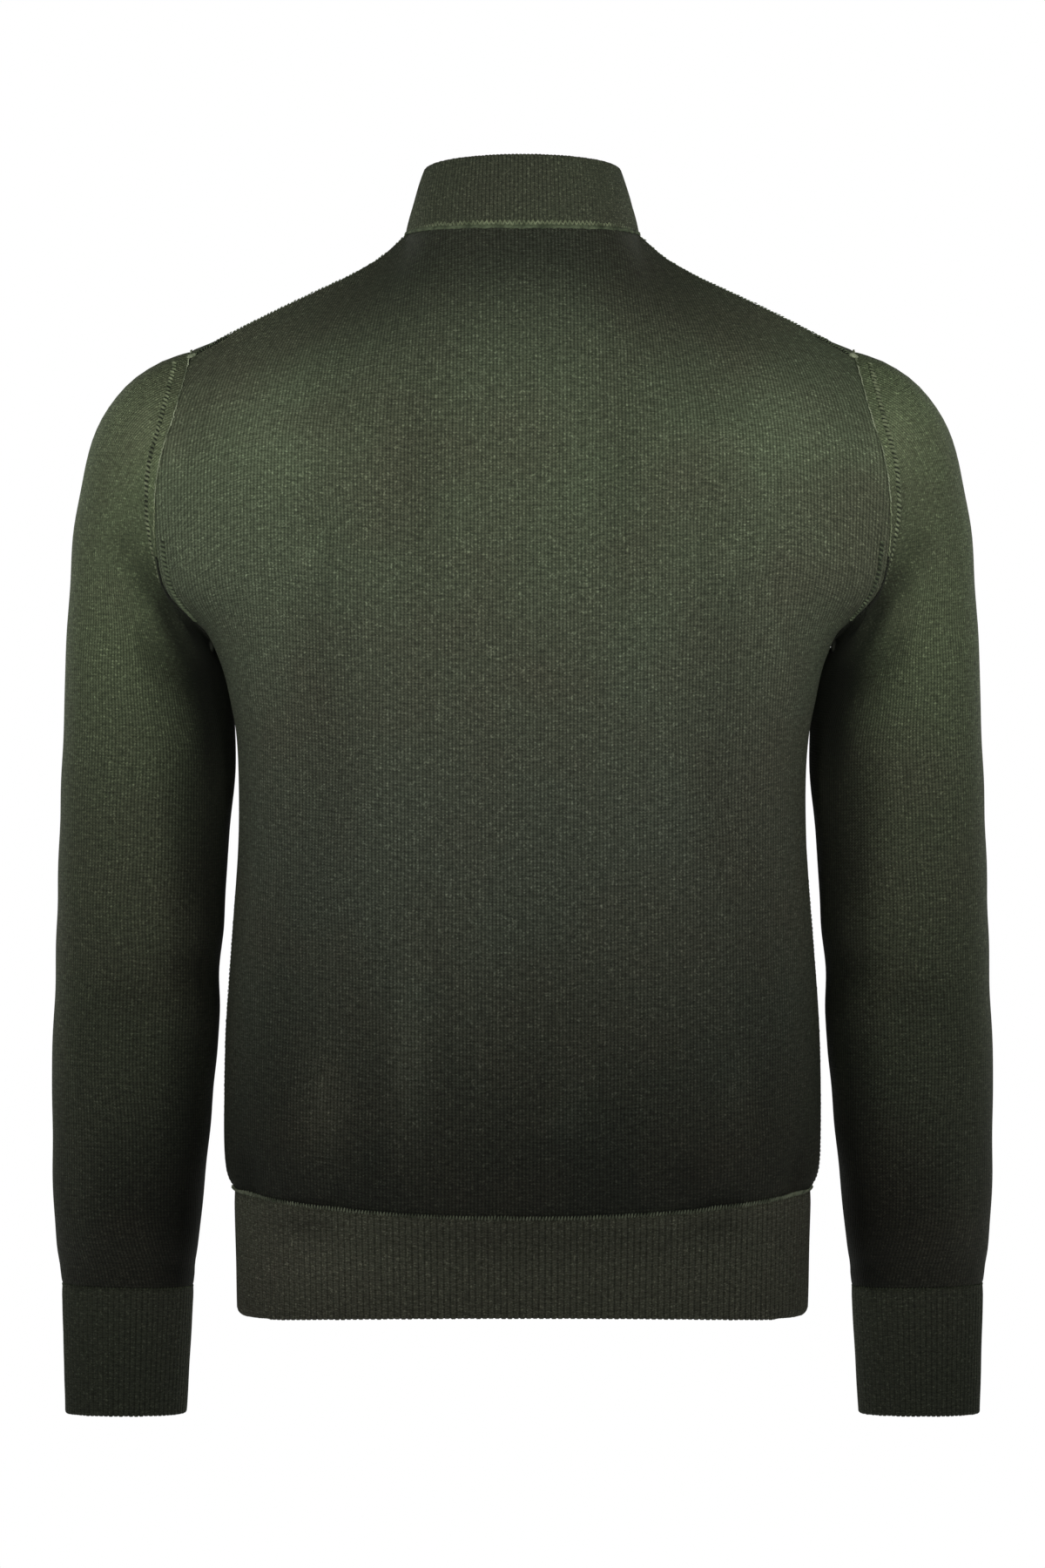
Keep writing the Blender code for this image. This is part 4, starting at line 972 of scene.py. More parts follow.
def refined(name, node, material):
    """A metal fitting from its solid's own form, with its edges eased."""
    work = bmesh.new()
    work.from_mesh(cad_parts[node].data)
    bmesh.ops.remove_doubles(work, verts=work.verts[:], dist=1e-6)
    bmesh.ops.dissolve_limit(
        work, angle_limit=math.radians(2), verts=work.verts[:], edges=work.edges[:]
    )
    mesh = bpy.data.meshes.new(name)
    work.to_mesh(mesh)
    work.free()
    made = placed(name, mesh, material)
    easing = made.modifiers.new("eased edges", "BEVEL")
    easing.width = EASED_EDGE * MM
    easing.segments = 2
    easing.limit_method = "ANGLE"
    easing.angle_limit = math.radians(35)
    easing.harden_normals = True
    mesh.shade_smooth()
    return made


# Materials


def linear(code):
    """The linear colour of an sRGB hex value, with alpha 1."""
    parts = [int(code[k : k + 2], 16) / 255 for k in (0, 2, 4)]
    return (*[p / 12.92 if p <= 0.04045 else ((p + 0.055) / 1.055) ** 2.4 for p in parts], 1.0)


def feed(made, inputs):
    """A node with its inputs set or linked: each is a value, a socket, or a node that
    gives its first output."""
    for key, value in inputs.items():
        value = value.outputs[0] if isinstance(value, bpy.types.Node) else value
        if isinstance(value, bpy.types.NodeSocket):
            made.id_data.links.new(value, made.inputs[key])
        else:
            made.inputs[key].default_value = value
    return made


def node(tree, kind, inputs=None, **settings):
    """A shader node with its settings and its inputs."""
    made = tree.nodes.new("ShaderNode" + kind)
    for key, value in settings.items():
        setattr(made, key, value)
    return feed(made, inputs or {})


def new_material(name, **finish):
    """A material, its node tree and its shader, with fixed values on its own sockets."""
    made = bpy.data.materials.new(name)
    made.use_nodes = True
    shader = made.node_tree.nodes["Principled BSDF"]
    feed(shader, {key.replace("_", " "): value for key, value in finish.items()})
    return made, made.node_tree, shader


def coloured(shader, tone, height, strength, depth):
    """The shader with its colour, and a relief this many millimetres deep."""
    relief = {"Strength": strength, "Distance": depth * MM, "Height": height}
    feed(shader, {"Base Color": tone, "Normal": node(shader.id_data, "Bump", relief)})


def on_cloth(tree, wale, course):
    """The number of wales across and of courses up, from the cloth's own map, whose unit
    is a centimetre."""
    where = node(tree, "SeparateXYZ", {0: node(tree, "UVMap", uv_map="Knit")})
    sizes = (("X", wale), ("Y", course))
    return [
        node(tree, "Math", {0: where.outputs[way], 1: 10 / size}, operation="MULTIPLY")
        for way, size in sizes
    ]


def dyed_tone(tree, tones, across, up, streak):
    """The colour of garment-dyed yarn on a worn garment: greener and lighter at the
    chest, darker towards the hem, partly the dye and partly painted light that falls off
    downwards, with clouds 110 mm across where the dye took unevenly, streaks a few
    stitches long where the yarn did, and on its surface paler fibres of 0.3 mm, drawn
    1.2 mm long so that they show. Last come the patches of painted light and shade."""
    (chest, yoke, waist), low, cloud = tones
    place = node(tree, "TexCoord").outputs["Object"]
    height = node(tree, "SeparateXYZ", {0: place}).outputs["Z"]
    drop = node(tree, "ValToRGB", {0: node(tree, "MapRange", {0: height, 1: -0.70, 2: 0.05})})
    ramp = drop.color_ramp
    ramp.interpolation = "EASE"
    for element, position, code in zip(ramp.elements, (0.10, 1.0), (low, yoke)):
        element.position, element.color = position, linear(code)
    for position, code in ((0.42, waist), (0.76, chest)):
        ramp.elements.new(position).color = linear(code)
    patches = {"Vector": place, "Scale": 9.0, "Detail": 4.0, "Roughness": 0.55}
    share = {0: node(tree, "TexNoise", patches), 1: 0.42, 2: 0.66, 3: 0.0, 4: 0.45}
    clouded = {0: node(tree, "MapRange", share), 6: drop, 7: linear(cloud)}
    tone = node(tree, "Mix", clouded, data_type="RGBA").outputs[2]
    long_way = node(tree, "Math", {0: across, 1: streak}, operation="MULTIPLY")
    along = node(tree, "CombineXYZ", {0: long_way, 1: up, 2: 0.0})
    streaks = {"Vector": along, "Scale": 0.9, "Detail": 2.0, "Roughness": 0.7}
    uneven = {0: node(tree, "TexNoise", streaks), 1: 0.30, 2: 0.70, 3: 0.62, 4: 1.40}
    uneven = node(tree, "MapRange", uneven)
    tone = node(tree, "VectorMath", {0: tone, 3: uneven}, operation="SCALE")
    fibres = {"Vector": place, "Scale": 800.0, "Detail": 1.0, "Roughness": 0.5}
    pale = {0: node(tree, "TexNoise", fibres), 1: 0.57, 2: 0.72, 3: 0.0, 4: 0.6}
    paler = node(tree, "VectorMath", {0: tone, 3: FIBRE_GAIN}, operation="SCALE")
    mixed = {0: node(tree, "MapRange", pale), 6: tone, 7: paler}
    tone = node(tree, "Mix", mixed, data_type="RGBA").outputs[2]
    # the patches of painted light and shade, and of uneven dye, scale the colour
    painted_light_and_dye_factor = node(tree, "Attribute", attribute_name="Painted_light_and_dye").outputs["Fac"]
    return node(tree, "VectorMath", {0: tone, 3: painted_light_and_dye_factor}, operation="SCALE")


def knit_relief(tree, across, up, second):
    """Height of knitted loops. Each wale is a ridge, |sin| of its phase, mixed for a rib
    with |sin| of twice the phase for its two wales. The loops along it lean towards its
    middle: the sine of the course's phase plus the distance from the wale's middle."""
    phase = node(tree, "Math", {0: across, 1: math.pi}, operation="MULTIPLY")
    ridge = node(tree, "Math", {0: phase}, operation="SINE")
    ridge = node(tree, "Math", {0: ridge}, operation="ABSOLUTE")
    if second:
        twice = node(tree, "Math", {0: phase, 1: 2.0}, operation="MULTIPLY")
        twice = node(tree, "Math", {0: twice}, operation="SINE")
        twice = node(tree, "Math", {0: twice}, operation="ABSOLUTE")
        ridge = node(tree, "Mix", {0: second, 2: ridge, 3: twice})
    lean = node(tree, "Math", {0: across, 1: 0.5}, operation="PINGPONG")
    lean = node(tree, "Math", {0: lean, 1: 1.2, 2: up}, operation="MULTIPLY_ADD")
    turns = node(tree, "Math", {0: lean, 1: 2 * math.pi}, operation="MULTIPLY")
    loops = node(tree, "Math", {0: turns}, operation="SINE")
    return node(tree, "Math", {0: loops, 1: 0.22, 2: ridge}, operation="MULTIPLY_ADD")


def dyed_knit(name, tones, sizes, contrast, second, painted_inner_shade):
    """Fine knit in garment-dyed yarn: matt and a little hairy, so it has no highlight and
    its relief is soft. Less light gets in between the wales, and that shade is painted into
    the colour. The side of a sleeve next to the body, below the armpit, has painted shade."""
    finish = {"Roughness": 0.96, "Specular_IOR_Level": 0.14, "Sheen_Tint": linear("8f9a7c")}
    finish |= {"Sheen_Weight": 0.08, "Sheen_Roughness": 0.6}
    made, tree, shader = new_material(name, **finish)
    wale, course, depth = sizes
    across, up = on_cloth(tree, wale, course)
    tone = dyed_tone(tree, tones, across, up, 0.9 if second else 0.4)
    height = knit_relief(tree, across, up, second)
    # painted shade between the wales, deepest where the relief is lowest
    shade = node(tree, "MapRange", {0: height, 1: -0.1, 2: 1.1, 3: contrast[0], 4: contrast[1]})
    tone = node(tree, "VectorMath", {0: tone, 3: shade}, operation="SCALE")
    place = node(tree, "TexCoord").outputs["Object"]
    # painted shade on the side of a sleeve that turns towards the body, below the armpit
    if painted_inner_shade < 1:
        normal = node(tree, "NewGeometry").outputs["Normal"]
        side = node(tree, "SeparateXYZ", {0: normal}).outputs["X"]
        at = node(tree, "SeparateXYZ", {0: place})
        left = node(tree, "Math", {0: at.outputs["X"]}, operation="SIGN")
        outward = node(tree, "Math", {0: side, 1: left}, operation="MULTIPLY")
        turned = node(tree, "MapRange", {0: outward, 1: -0.80, 2: -0.25, 3: painted_inner_shade, 4: 1.0})
        above = node(tree, "MapRange", {0: at.outputs["Z"], 1: -0.24, 2: -0.16, 3: 0.0, 4: 1.0})
        turned = node(tree, "Math", {0: turned, 1: above}, operation="MAXIMUM")
        tone = node(tree, "VectorMath", {0: tone, 3: turned}, operation="SCALE")
    # hairs of the yarn, 1.5 mm long
    hairs = {"Vector": place, "Scale": 650.0, "Detail": 2.0, "Roughness": 0.7}
    rough = {0: node(tree, "TexNoise", hairs), 1: 0.9, 2: height}
    coloured(shader, tone, node(tree, "Math", rough, operation="MULTIPLY_ADD"), 0.8, depth)
    return made


def frosted_thread(name, pale, deep):
    """Linking thread that took less dye than the yarn, so the seams show as pale lines,
    in patches of 8 mm along their length. Its twist is drawn 0.7 mm long. In the deep and
    shaded tones it is painted shade instead: dark beads where the seams and marks lie in
    shadow."""
    made, tree, shader = new_material(name, Roughness=0.9, Specular_IOR_Level=0.2)
    place = node(tree, "TexCoord").outputs["Object"]
    patches = {"Vector": place, "Scale": 130.0, "Detail": 4.0, "Roughness": 0.7}
    share = node(tree, "MapRange", {0: node(tree, "TexNoise", patches), 1: 0.38, 2: 0.62})
    tone = node(tree, "Mix", {0: share, 6: linear(deep), 7: linear(pale)}, data_type="RGBA")
    twist = node(tree, "TexNoise", {"Vector": place, "Scale": 1400.0, "Detail": 2.0})
    coloured(shader, tone.outputs[2], twist, 0.5, 0.2)
    return made


def woven_tape(name):
    """Polyester zip tape, woven in a fine twill and dyed dark: slanting lines with a
    slight shine, 12 to the centimetre."""
    made, tree, shader = new_material(name, Roughness=0.7, Specular_IOR_Level=0.35)
    where = node(tree, "SeparateXYZ", {0: node(tree, "UVMap", uv_map="Knit")})
    slant = node(tree, "Math", {0: where.outputs["X"], 1: where.outputs["Y"]}, operation="ADD")
    lines = node(tree, "Math", {0: slant, 1: 2 * math.pi * 12}, operation="MULTIPLY")
    lines = node(tree, "Math", {0: lines}, operation="SINE")
    share = node(tree, "MapRange", {0: lines, 1: -1.0, 2: 1.0})
    tone = {0: share, 6: linear("1d201a"), 7: linear("343a2d")}
    coloured(shader, node(tree, "Mix", tone, data_type="RGBA").outputs[2], lines, 0.5, 0.15)
    return made


def plated_zinc(name):
    """Die-cast zinc with a dark nickel plating, tumbled: a satin metal, brighter where it
    is rubbed, in patches of 2.4 mm."""
    made, tree, shader = new_material(name, Metallic=1.0)
    place = node(tree, "TexCoord").outputs["Object"]
    patches = {"Vector": place, "Scale": 420.0, "Detail": 5.0, "Roughness": 0.65}
    rubbed = node(tree, "TexNoise", patches)
    share = node(tree, "MapRange", {0: rubbed, 1: 0.35, 2: 0.7})
    tone = {0: share, 6: linear("56524a"), 7: linear("8d887c")}
    coloured(shader, node(tree, "Mix", tone, data_type="RGBA").outputs[2], rubbed, 0.15, 0.05)
    dull = node(tree, "MapRange", {0: rubbed, 1: 0.3, 2: 0.75, 3: 0.46, 4: 0.28})
    feed(shader, {"Roughness": dull})
    return made


def pale_studio(name):
    """A white paper sweep, overexposed so that it shows as plain white."""
    finish = {"Base_Color": (0, 0, 0, 1), "Emission_Color": linear("ffffff")}
    finish |= {"Emission_Strength": 1.0, "Roughness": 1.0, "Specular_IOR_Level": 0.0}
    return new_material(name, **finish)[0]


# Each knit's tones, (chest, yoke, waist), hem and cloudy patches, which change with
# height partly by the dye and partly as painted light falling off downwards; the width of
# its wales or ribs, the height of its courses and the depth of its relief; its contrast
# from between the wales to their tops, as painted shade between the wales; the share of a
# rib's second wale; and the painted shade of the side next to the body
KNITS = {
    "jersey": (
        (("545d48", "3a3c33", "4d5245"), "2c2e26", "4c493c"),
        (WALE, COURSE, 0.45), (0.44, 1.36), 0.0, 1.0,
    ),
    "jersey_sleeves": (
        (("5a654a", "545d45", "464c3a"), "2f3128", "49463a"),
        (WALE, COURSE, 0.45), (0.44, 1.36), 0.0, 0.2,
    ),
    "rib": (
        (("676a5a", "676a5a", "676a5a"), "666857", "615d51"),
        (HEM_RIB, 1.5, 0.4), (0.44, 1.36), 0.45, 1.0,
    ),
    "cuff_rib": (
        (("535848", "535848", "535848"), "4f5444", "504f44"),
        (CUFF_RIB, 1.5, 0.35), (0.55, 1.25), 0.45, 1.0,
    ),
    "collar_rib": (
        (("474c3c", "474c3c", "474c3c"), "474c3c", "403f35"),
        (COLLAR_RIB, 1.5, 0.4), (0.44, 1.36), 0.45, 1.0,
    ),
}
THREAD_TONES = {  # tones where a thread took least and most dye; deep and shaded are painted shade
    "frosted": ("b4bd9e", "69725a"),
    "muted": ("959f7c", "5a644a"),
    "dull": ("6f7b5e", "464f3b"),
    # painted shade: near-black beads along the crease under the arm and under the shoulder ridges
    "deep": ("23261d", "14160f"),
    # painted shadow in the gaps between the fashioning marks
    "shaded": ("353b2d", "2a2f24"),
}
FIBRE_GAIN = 3.0  # how much paler the fibres on the surface of the yarn are

# Studio, in metres
FLOOR_LEVEL = -0.80  # below the cuffs
FLOOR_REACH = 60.0
SQUARE = ((-1, -1), (1, -1), (1, 1), (-1, 1))
CAMERA_AWAY = 5.0
CAMERA_LEVEL = -0.334  # the middle of the garment
FRAMED = 0.952  # height that the picture takes in
SENSOR = 36.0  # mm


def soft_light(name, place, aim, size, power, spread):
    """A softbox with a grid that narrows its beam to this many degrees."""
    lamp = bpy.data.lights.new(name, "AREA")
    lamp.spread = math.radians(spread)
    lamp.shape = "RECTANGLE"
    lamp.size, lamp.size_y = size
    lamp.energy = power
    made = bpy.data.objects.new(name, lamp)
    bpy.context.scene.collection.objects.link(made)
    made.location = place
    way = Vector(aim) - Vector(place)
    made.rotation_euler = way.to_track_quat("-Z", "Y").to_euler()
    made.visible_camera = False
    return made


def make_studio():
    """A white floor below the cuffs, a white surrounding that lights softly, and soft
    lights on both sides of the camera, on both sides of the front, and low behind."""
    scene = bpy.context.scene
    scene.view_settings.view_transform = "Standard"
    sweep = bpy.data.meshes.new("floor")
    corners = [(x * FLOOR_REACH, y * FLOOR_REACH, FLOOR_LEVEL) for x, y in SQUARE]
    sweep.from_pydata(corners, [], [(0, 1, 2, 3)])
    floor = placed("floor", sweep, pale_studio("white_paper_sweep"))
    floor.visible_diffuse = False
    floor.visible_shadow = False
    world = bpy.data.worlds.new("white_room")
    world.use_nodes = True
    scene.world = world
    tree = world.node_tree
    seen = node(tree, "LightPath").outputs["Is Camera Ray"]
    strength = node(tree, "MapRange", {0: seen, 3: 0.065, 4: 1.0})
    feed(tree.nodes["Background"], {0: (1, 1, 1, 1), 1: strength})
    for name, side in SIDES:
        place, aim = (side * 0.547, 1.503, -0.05), (side * 0.28, 0.05, -0.12)
        soft_light(name + "_back_softbox", place, aim, (0.4, 0.4), 0.66, 37)
        place, aim = (side * 1.1, -1.6, 0.1), (side * 0.1, -0.1, -0.12)
        soft_light(name + "_front_softbox", place, aim, (0.8, 0.8), 1.3, 48)
    soft_light("low_fill", (0, 1.6, -0.5), (0, 0.05, -0.2), (0.5, 0.5), 0.6, 120)


def make_camera():
    """The photographer's view: straight at the back from 5 m, level with its middle."""
    lens = bpy.data.cameras.new("camera")
    lens.sensor_fit = "VERTICAL"
    lens.sensor_height = SENSOR
    lens.lens = SENSOR * CAMERA_AWAY / FRAMED
    camera = bpy.data.objects.new("camera", lens)
    camera.location = (0, CAMERA_AWAY, CAMERA_LEVEL)
    camera.rotation_euler = (math.radians(90), 0, math.radians(180))
    bpy.context.scene.collection.objects.link(camera)
    bpy.context.scene.camera = camera


def declare(piece, nodes, body="garment"):
    """Says what a piece rides on, and hides the solids that it stands for."""
    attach(piece, body)
    if nodes:
        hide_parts(*nodes)
    return piece


def make_cardigan():
    """Every piece of the garment: its cloth first, then its seams and its zip."""
    back, front = panel(1), panel(-1)
    rings, arm_shares = sleeve(back, front)
    knit, sleeve_knit, rib, cuff_rib, collar_rib = (
        dyed_knit("garment_dyed_" + name, *look) for name, look in KNITS.items()
    )
    tape = woven_tape("woven_zip_tape")
    metal = plated_zinc("dark_nickel_plate")

    edges = (True, False, True, True)
    of_back, outer, back_normals = fine_panel(back, BACK_SOFT, 3, edges)
    inner = of_back - PLAIN_KNIT * back_normals
    places = knit_map(of_back, of_back.shape[1] // 2)
    piece = cloth_shell("back_panel", outer, inner, places, knit)
    declare(piece, ["back"])

    edges = (True, False, False, True)
    of_front, outer, front_normals = fine_panel(front, FRONT_SOFT, 4, edges)
    inner = of_front - PLAIN_KNIT * front_normals
    places = knit_map(of_front, 0)
    for name, turned, order in HALVES:
        made = (turned(outer), turned(inner), places[:, ::order], knit)
        piece = cloth_shell("front_panel_" + name, *made)
        declare(piece, ["front_" + name])

    tube = fine_sleeve(rings)
    tube = np.roll(tube, tube.shape[1] // 2, axis=1)  # so that it starts at the underarm seam
    tube_normals = normals_of(tube, closed=True)
    outer = turned_in(tube, tube_normals, (True, True, False, False))
    inner = tube - PLAIN_KNIT * tube_normals
    places = knit_map(np.concatenate([tube, tube[:, :1]], axis=1), tube.shape[1] // 2)
    places[..., 1] -= places[-1:, :, 1]
    for name, turned, order in HALVES:
        made = (turned(outer), turned(inner), places[:, ::order], sleeve_knit, True)
        piece = cloth_shell("sleeve_" + name + "_knit", *made)
        declare(piece, ["sleeve_" + name])
        make_cuff(name, turned, rings, arm_shares, cuff_rib)

    make_hem(back, front, rib)
    collar = make_collar(back, front, collar_rib)
    body = (back, of_back, back_normals, of_front, front_normals)
    make_seams(*body, tube, tube_normals, collar)
    make_zip(front, tape, metal)


def make_cuff(name, turned, rings, arm_shares, rib):
    """A cuff from the sleeve's last ring down to its free edge."""
    ends = (rings[-1], oval(CUFF_END, arm_shares))
    top, end = (np.concatenate([ring, ring[:1]]) for ring in ends)
    shares = rib_line(top, CUFF_RIB, closed=True)
    rows = turned(between(even_line(top, shares), even_line(end, shares), 24))
    piece = ribbed_band("cuff_rib_" + name, rows, True, CLOTH, CUFF_RIB, 21, rib)
    declare(piece, ["cuff_" + name])


def hem_rows(top, side):
    """Rows of the hem rib from a panel's bottom edge down to the rib's free edge."""
    bottom = cross_section(side_row(HEM_END, side), side, FINE)
    if side > 0:
        bottom = np.concatenate([bottom[::-1], bottom[1:] * [-1, 1, 1]])
    shares = rib_line(top, HEM_RIB)
    rows = between(even_line(top, shares), even_line(bottom, shares), 18)
    return rounded_corners(rows, HEM_CORNER)


def make_hem(back, front, rib):
    """The hem rib in three lengths."""
    rows = hem_rows(back[0], 1)[:, ::-1]
    piece = ribbed_band("hem_rib_back", rows, False, CLOTH, HEM_RIB, 31, rib)
    declare(piece, ["hem_back"])
    for name, turned, _ in HALVES:
        rows = turned(hem_rows(front[0], -1))[:, ::-1]
        piece = ribbed_band("hem_rib_" + name, rows, False, CLOTH, HEM_RIB, 32, rib)
        declare(piece, ["hem_front_" + name])


def make_collar(back, front, rib):
    """The stand collar: ribs rising from the neckline, and the top edge rolled over. It
    gives the outer grid of its plain surface."""
    neck = (front[-1, : NECK_COLUMN + 1], back[-1, COLUMNS - NECK_COLUMN : COLUMNS + 1])
    levels = [neck] + [collar_level(row) for row in COLLAR_ROWS]
    first_level = levels[1]
    counts = [RIB_POINTS * round(run_of(quarter)[-1] / COLLAR_RIB) for quarter in first_level]
    lines = []
    for quarters in levels:
        front, back = (
            even_line(quarter, np.linspace(0, 1, count + 1))
            for quarter, count in zip(quarters, counts)
        )
        lines.append(np.concatenate([front, back[1:]]))
    left = np.stack(lines)
    plain = np.concatenate([left, mirrored(left)[:, 1:]], axis=1)
    rows = smooth(plain, marks(plain[:, counts[0]], COLLAR_STEP, EDGE_AT)[:-2])
    t = np.linspace(0, 1, len(rows))[:, None, None]
    beside = (rows[..., :1] / np.abs(rows[..., 0]).max()) ** 2 * (rows[..., 1:2] > -55)
    rows = rows + COLLAR_BOW * 4 * t * (1 - t) * beside * normals_of(rows)
    tucked = rows[:1] - COLLAR_TUCK[0] * normals_of(rows)[:1] - [0, 0, COLLAR_TUCK[1]]
    rows = np.concatenate([tucked, rows])
    thickness = COLLAR_CLOTH - 0.4
    piece = ribbed_band("collar_rib", rows, False, thickness, COLLAR_RIB, 41, rib, height=0.8)
    declare(piece, ["collar"])
    return plain


# Looks of stitches: pitch, (length, width, height), slant in degrees, lift off the cloth
# and how far they are set aside from the seam. A row of them also has a seed and a thread.
ARMHOLE_CHAIN = (2.0, (2.5, 1.0, 1.0), 12, 0.45, 0.0)
UNDERARM_CHAIN = (2.1, (2.6, 1.6, 1.1), 14, 0.1, 0.0)
# the fashioning bars are paler than the yarn as a painted highlight, and the beads in the  gaps
# between them are painted shadow
FASHIONING = (3.0, (4.2, 1.7, 2.0), 58, 0.55, 0.0)
FASHIONING_GAP_SHADOWS = (3.0, (4.0, 1.5, 1.3), 58, 0.0, 0.0)
STITCHES = {
    "neck_linking": (1.7, (3.9, 2.3, 1.9), 34, 0.9, -0.2, 51, "dull"),
    "neck_chain": (1.4, (4.3, 1.0, 0.9), 62, 0.6, 2.7, 52, "muted"),
    "neck_chain_under": (1.3, (3.4, 1.3, 0.8), 62, 0.3, 1.9, 61, "dull"),
    "armhole_linking": (*ARMHOLE_CHAIN, 53, "frosted"),
    # down the armhole the thread is painted darker, muted in the middle and deep under the  arm,
    # as painted shade along the crease there
    "armhole_linking_painted_shade_back": (*ARMHOLE_CHAIN, 66, "muted"),
    "armhole_linking_painted_shade_front": (*ARMHOLE_CHAIN, 66, "muted"),
    "underarm_linking_back": (*UNDERARM_CHAIN, 62, "deep"),
    "underarm_linking_front": (*UNDERARM_CHAIN, 63, "deep"),
    "fashioning_sleeve_back": (*FASHIONING, 70, "muted"),
    "fashioning_gaps_sleeve_back": (*FASHIONING_GAP_SHADOWS, 70, "shaded"),
    "fashioning_sleeve_front": (*FASHIONING, 71, "muted"),
    "fashioning_gaps_sleeve_front": (*FASHIONING_GAP_SHADOWS, 71, "shaded"),
    "fashioning_body": (*FASHIONING, 72, "dull"),
    "fashioning_gaps_body": (*FASHIONING_GAP_SHADOWS, 72, "shaded"),
    "shoulder_linking": (2.3, (2.4, 0.9, 0.7), 20, 0.2, 0.0, 56, "dull"),
    # a dark strip of painted shadow under the ridges, and the ridges paler as painted highlights
    "shoulder_ridge_shade": (1.0, (4.2, 1.5, 0.6), 72, 0.0, -1.2, 65, "deep"),
    "shoulder_ridges": (1.8, (4.2, 0.9, 0.9), 72, 0.35, -1.2, 64, "dull"),
    "hem_linking_back": (1.9, (3.6, 1.2, 1.1), 80, 0.9, 0.9, 57, "frosted"),
    "hem_linking_front": (1.9, (3.6, 1.2, 1.1), 80, 0.9, 0.9, 58, "frosted"),
    "cuff_linking": (2.3, (2.0, 0.8, 0.7), 70, -0.1, 0.0, 59, "dull"),
    "side_linking": (2.6, (2.4, 0.7, 0.5), 10, -0.15, 0.0, 60, "dull"),
}
FASHIONING_FROM = 9.0  # how far the fashioning marks lie from the armhole
SLEEVE_FASHIONED = ((17, 47), (56, 76))  # percent of the way round, from the underarm
BODY_FASHIONED = (-236.0, -186.0)  # heights between which the body has such marks
PALE_ABOVE, DEEP_BELOW = -166.0, -200.0  # heights below which the armhole's thread is painted darker, as painted shade under the arm
KNOT = (7.0, 4.0, 3.0)  # length, width and height of the knot at each shoulder tip
KNOT_AT, KNOT_WAY = (-1.0, 1.5, 0.4), (-1.0, 0.0, 0.35)  # from the tip of the seam
# the underarm tack is in the deep tone, painted shade in the underarm
UNDERARM_TACK = (9.0, 3.6, 10.0)
UNDERARM_TACK_AT = (188.6, 4.0, -249.5)
RIDGED = 28.0  # how far from its tip the shoulder shows the ridges of the front's edge


def stitched(threads, name, line, normals, both=True, zigzag=False, phase=0.5):
    """A row of stitches along a seam, and for a seam beside the centre the same one
    mirrored. Each lies at an angle to the seam, a little off true, lifted off the cloth
    and set aside from the line."""
    pitch, size, slant, lift, aside, seed, thread = STITCHES[name]
    for side, sign in SIDES if both else (("", 1),):
        dice, turn = np.random.default_rng(seed), np.array([sign, 1.0, 1.0])
        path = ((line * turn)[::sign], (normals * turn)[::sign])
        places, way, out = along_line(*path, pitch, phase)
        across = unit(np.cross(out, way))
        angle = np.full(len(places), np.radians(slant))
        if zigzag:
            angle[1::2] *= -1
        angle = (angle + dice.normal(0, 0.12, len(places)))[:, None]
        along = np.cos(angle) * way + np.sin(angle) * across
        wander = dice.normal(0, 0.16, (len(places), 1))
        places = places + (aside + wander) * across + (lift + 0.4 * wander) * out
        piece = name + ("_" + side if side else "")
        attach(beads(piece, places, along, out, size, threads[thread]), "garment")


def fine_line(line, step=2.0):
    """A coarse line as a smooth one with points this far apart."""
    return smooth(line, marks(line, step))


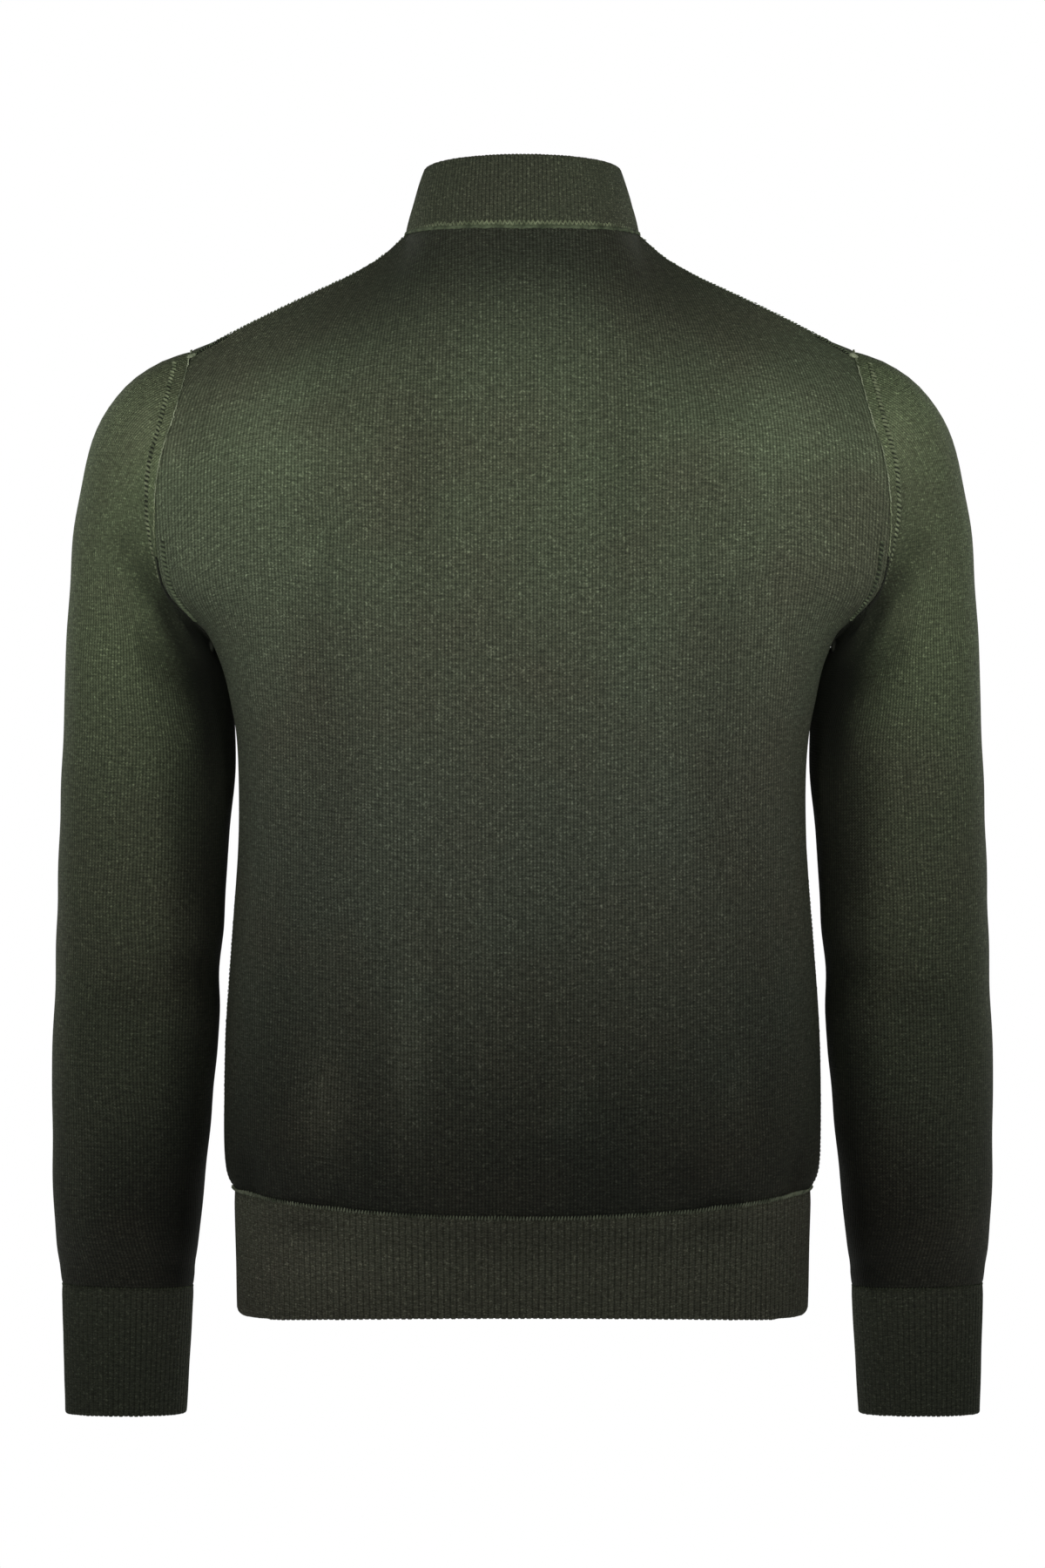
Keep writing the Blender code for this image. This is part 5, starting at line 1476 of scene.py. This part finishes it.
def make_seams(back, of_back, back_normals, of_front, front_normals, tube, tube_normals, collar):
    """Rows of stitches on every seam, fashioning marks beside the armholes, the knots at
    the shoulder tips and the tacks at the underarms. The armhole's thread is painted darker
    towards the underarm, and dark beads are painted shade under the arm, under the shoulder
    ridges and between the fashioning marks."""
    threads = {
        name: frosted_thread(name + "_linking_thread", *tones)
        for name, tones in THREAD_TONES.items()
    }
    up = np.array([0.0, 0.0, 1.0])
    neck = fine_line(collar[0][:: RIB_POINTS // 2])
    standing = fine_line(normals_of(collar)[0][:: RIB_POINTS // 2] * 100)
    standing = unit(evened(standing, len(neck)))
    stitched(threads, "neck_linking", neck, unit(standing + 0.5 * up), both=False)
    for name in ("neck_chain", "neck_chain_under"):
        stitched(threads, name, neck, standing, both=False, zigzag=True)

    ring = np.concatenate([tube[0], tube[0][:1]])
    outward = unit(tube_normals[1] + 0.4 * unit(tube[1] - tube[0]) * [-1, 0, 0])
    outward = np.concatenate([outward, outward[:1]])
    height, number = ring[:, 2], np.arange(len(ring)) - len(ring) // 2
    # the thread is painted darker below PALE_ABOVE and darkest below DEEP_BELOW, as painted shade
    middle = (height > DEEP_BELOW) & (height < PALE_ABOVE + 3)
    start, end = np.flatnonzero(height > DEEP_BELOW)[[0, -1]]
    for name, shown in (
        ("armhole_linking", (height > PALE_ABOVE) & (height < 3)),
        ("armhole_linking_painted_shade_back", middle & (number < 0)),
        ("armhole_linking_painted_shade_front", middle & (number > 0)),
        ("underarm_linking_back", slice(start + 1)),
        ("underarm_linking_front", slice(end, None)),
    ):
        stitched(threads, name, ring[shown], outward[shown])
    of_sleeve = (down_columns(tube, FASHIONING_FROM), tube_normals[3])
    percent = tube.shape[1] * np.array(SLEEVE_FASHIONED) // 100
    low, high = BODY_FASHIONED
    level = of_back[:, 0, 2]
    for name, line, normals, shown in (
        ("sleeve_back", *of_sleeve, slice(*percent[0])),
        ("sleeve_front", *of_sleeve, slice(*percent[1])),
        ("body", of_back[:, 4], back_normals[:, 4], (level > low) & (level < high)),
    ):
        stitched(threads, "fashioning_" + name, line[shown], normals[shown])
        # dark beads of painted shadow between the marks
        stitched(threads, "fashioning_gaps_" + name, line[shown], normals[shown], phase=1.0)

    seam = fine_line(back[-1, : COLUMNS - NECK_COLUMN + 1])
    normals = unit(evened(back_normals[-4, : back_normals.shape[1] // 4], len(seam)))
    stitched(threads, "shoulder_linking", seam, normals)
    near = run_of(seam) < RIDGED
    for name in ("shoulder_ridge_shade", "shoulder_ridges"):
        stitched(threads, name, seam[near], normals[near])
    knot = np.array([seam[0] + KNOT_AT, KNOT_WAY, normals[0]])[:, None]
    tack = np.array([UNDERARM_TACK_AT, (0.0, 1.0, 0.0), -up])[:, None]
    for side, sign in SIDES:
        for name, form, size, thread in (
            ("shoulder_knot_", knot, KNOT, "frosted"),
            ("underarm_tack_", tack, UNDERARM_TACK, "deep"),
        ):
            made = beads(name + side, *(form * [sign, 1.0, 1.0]), size, threads[thread])
            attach(made, "garment")

    tilted = [unit(of[2] - 0.3 * up)[4:-4] for of in (back_normals, front_normals)]
    stitched(threads, "hem_linking_back", of_back[0][4:-4], tilted[0], both=False)
    stitched(threads, "hem_linking_front", of_front[0][4:-4], tilted[1])
    ring = np.concatenate([tube[-1], tube[-1][:1]])
    outward = np.concatenate([tube_normals[-3], tube_normals[-3][:1]])
    stitched(threads, "cuff_linking", ring, outward)
    side = fine_line(back[: UNDERARM + 1, 0])
    stitched(threads, "side_linking", side, np.tile([1.0, 0.0, 0.0], (len(side), 1)))


def make_zip(front, tape, metal):
    """Tapes, teeth and fittings. The slider's pull turns on its own hinge."""
    line, thickness = zip_line(front)
    for name, side in SIDES:
        piece = zip_tape("woven_tape_" + name, line, thickness, side, tape)
        declare(piece, ["zip_tape_" + name])
        piece = zip_teeth("teeth_" + name, line, thickness, side, metal)
        declare(piece, ["zip_teeth"] if side > 0 else [])
    for name in ("slider", "pull", "box", "stop_left", "stop_right"):
        piece = refined("plated_" + name, "zip_" + name, metal)
        body = "pull_tab" if name == "pull" else "garment"
        declare(piece, ["zip_" + name], body=body)


make_cardigan()
make_studio()
make_camera()
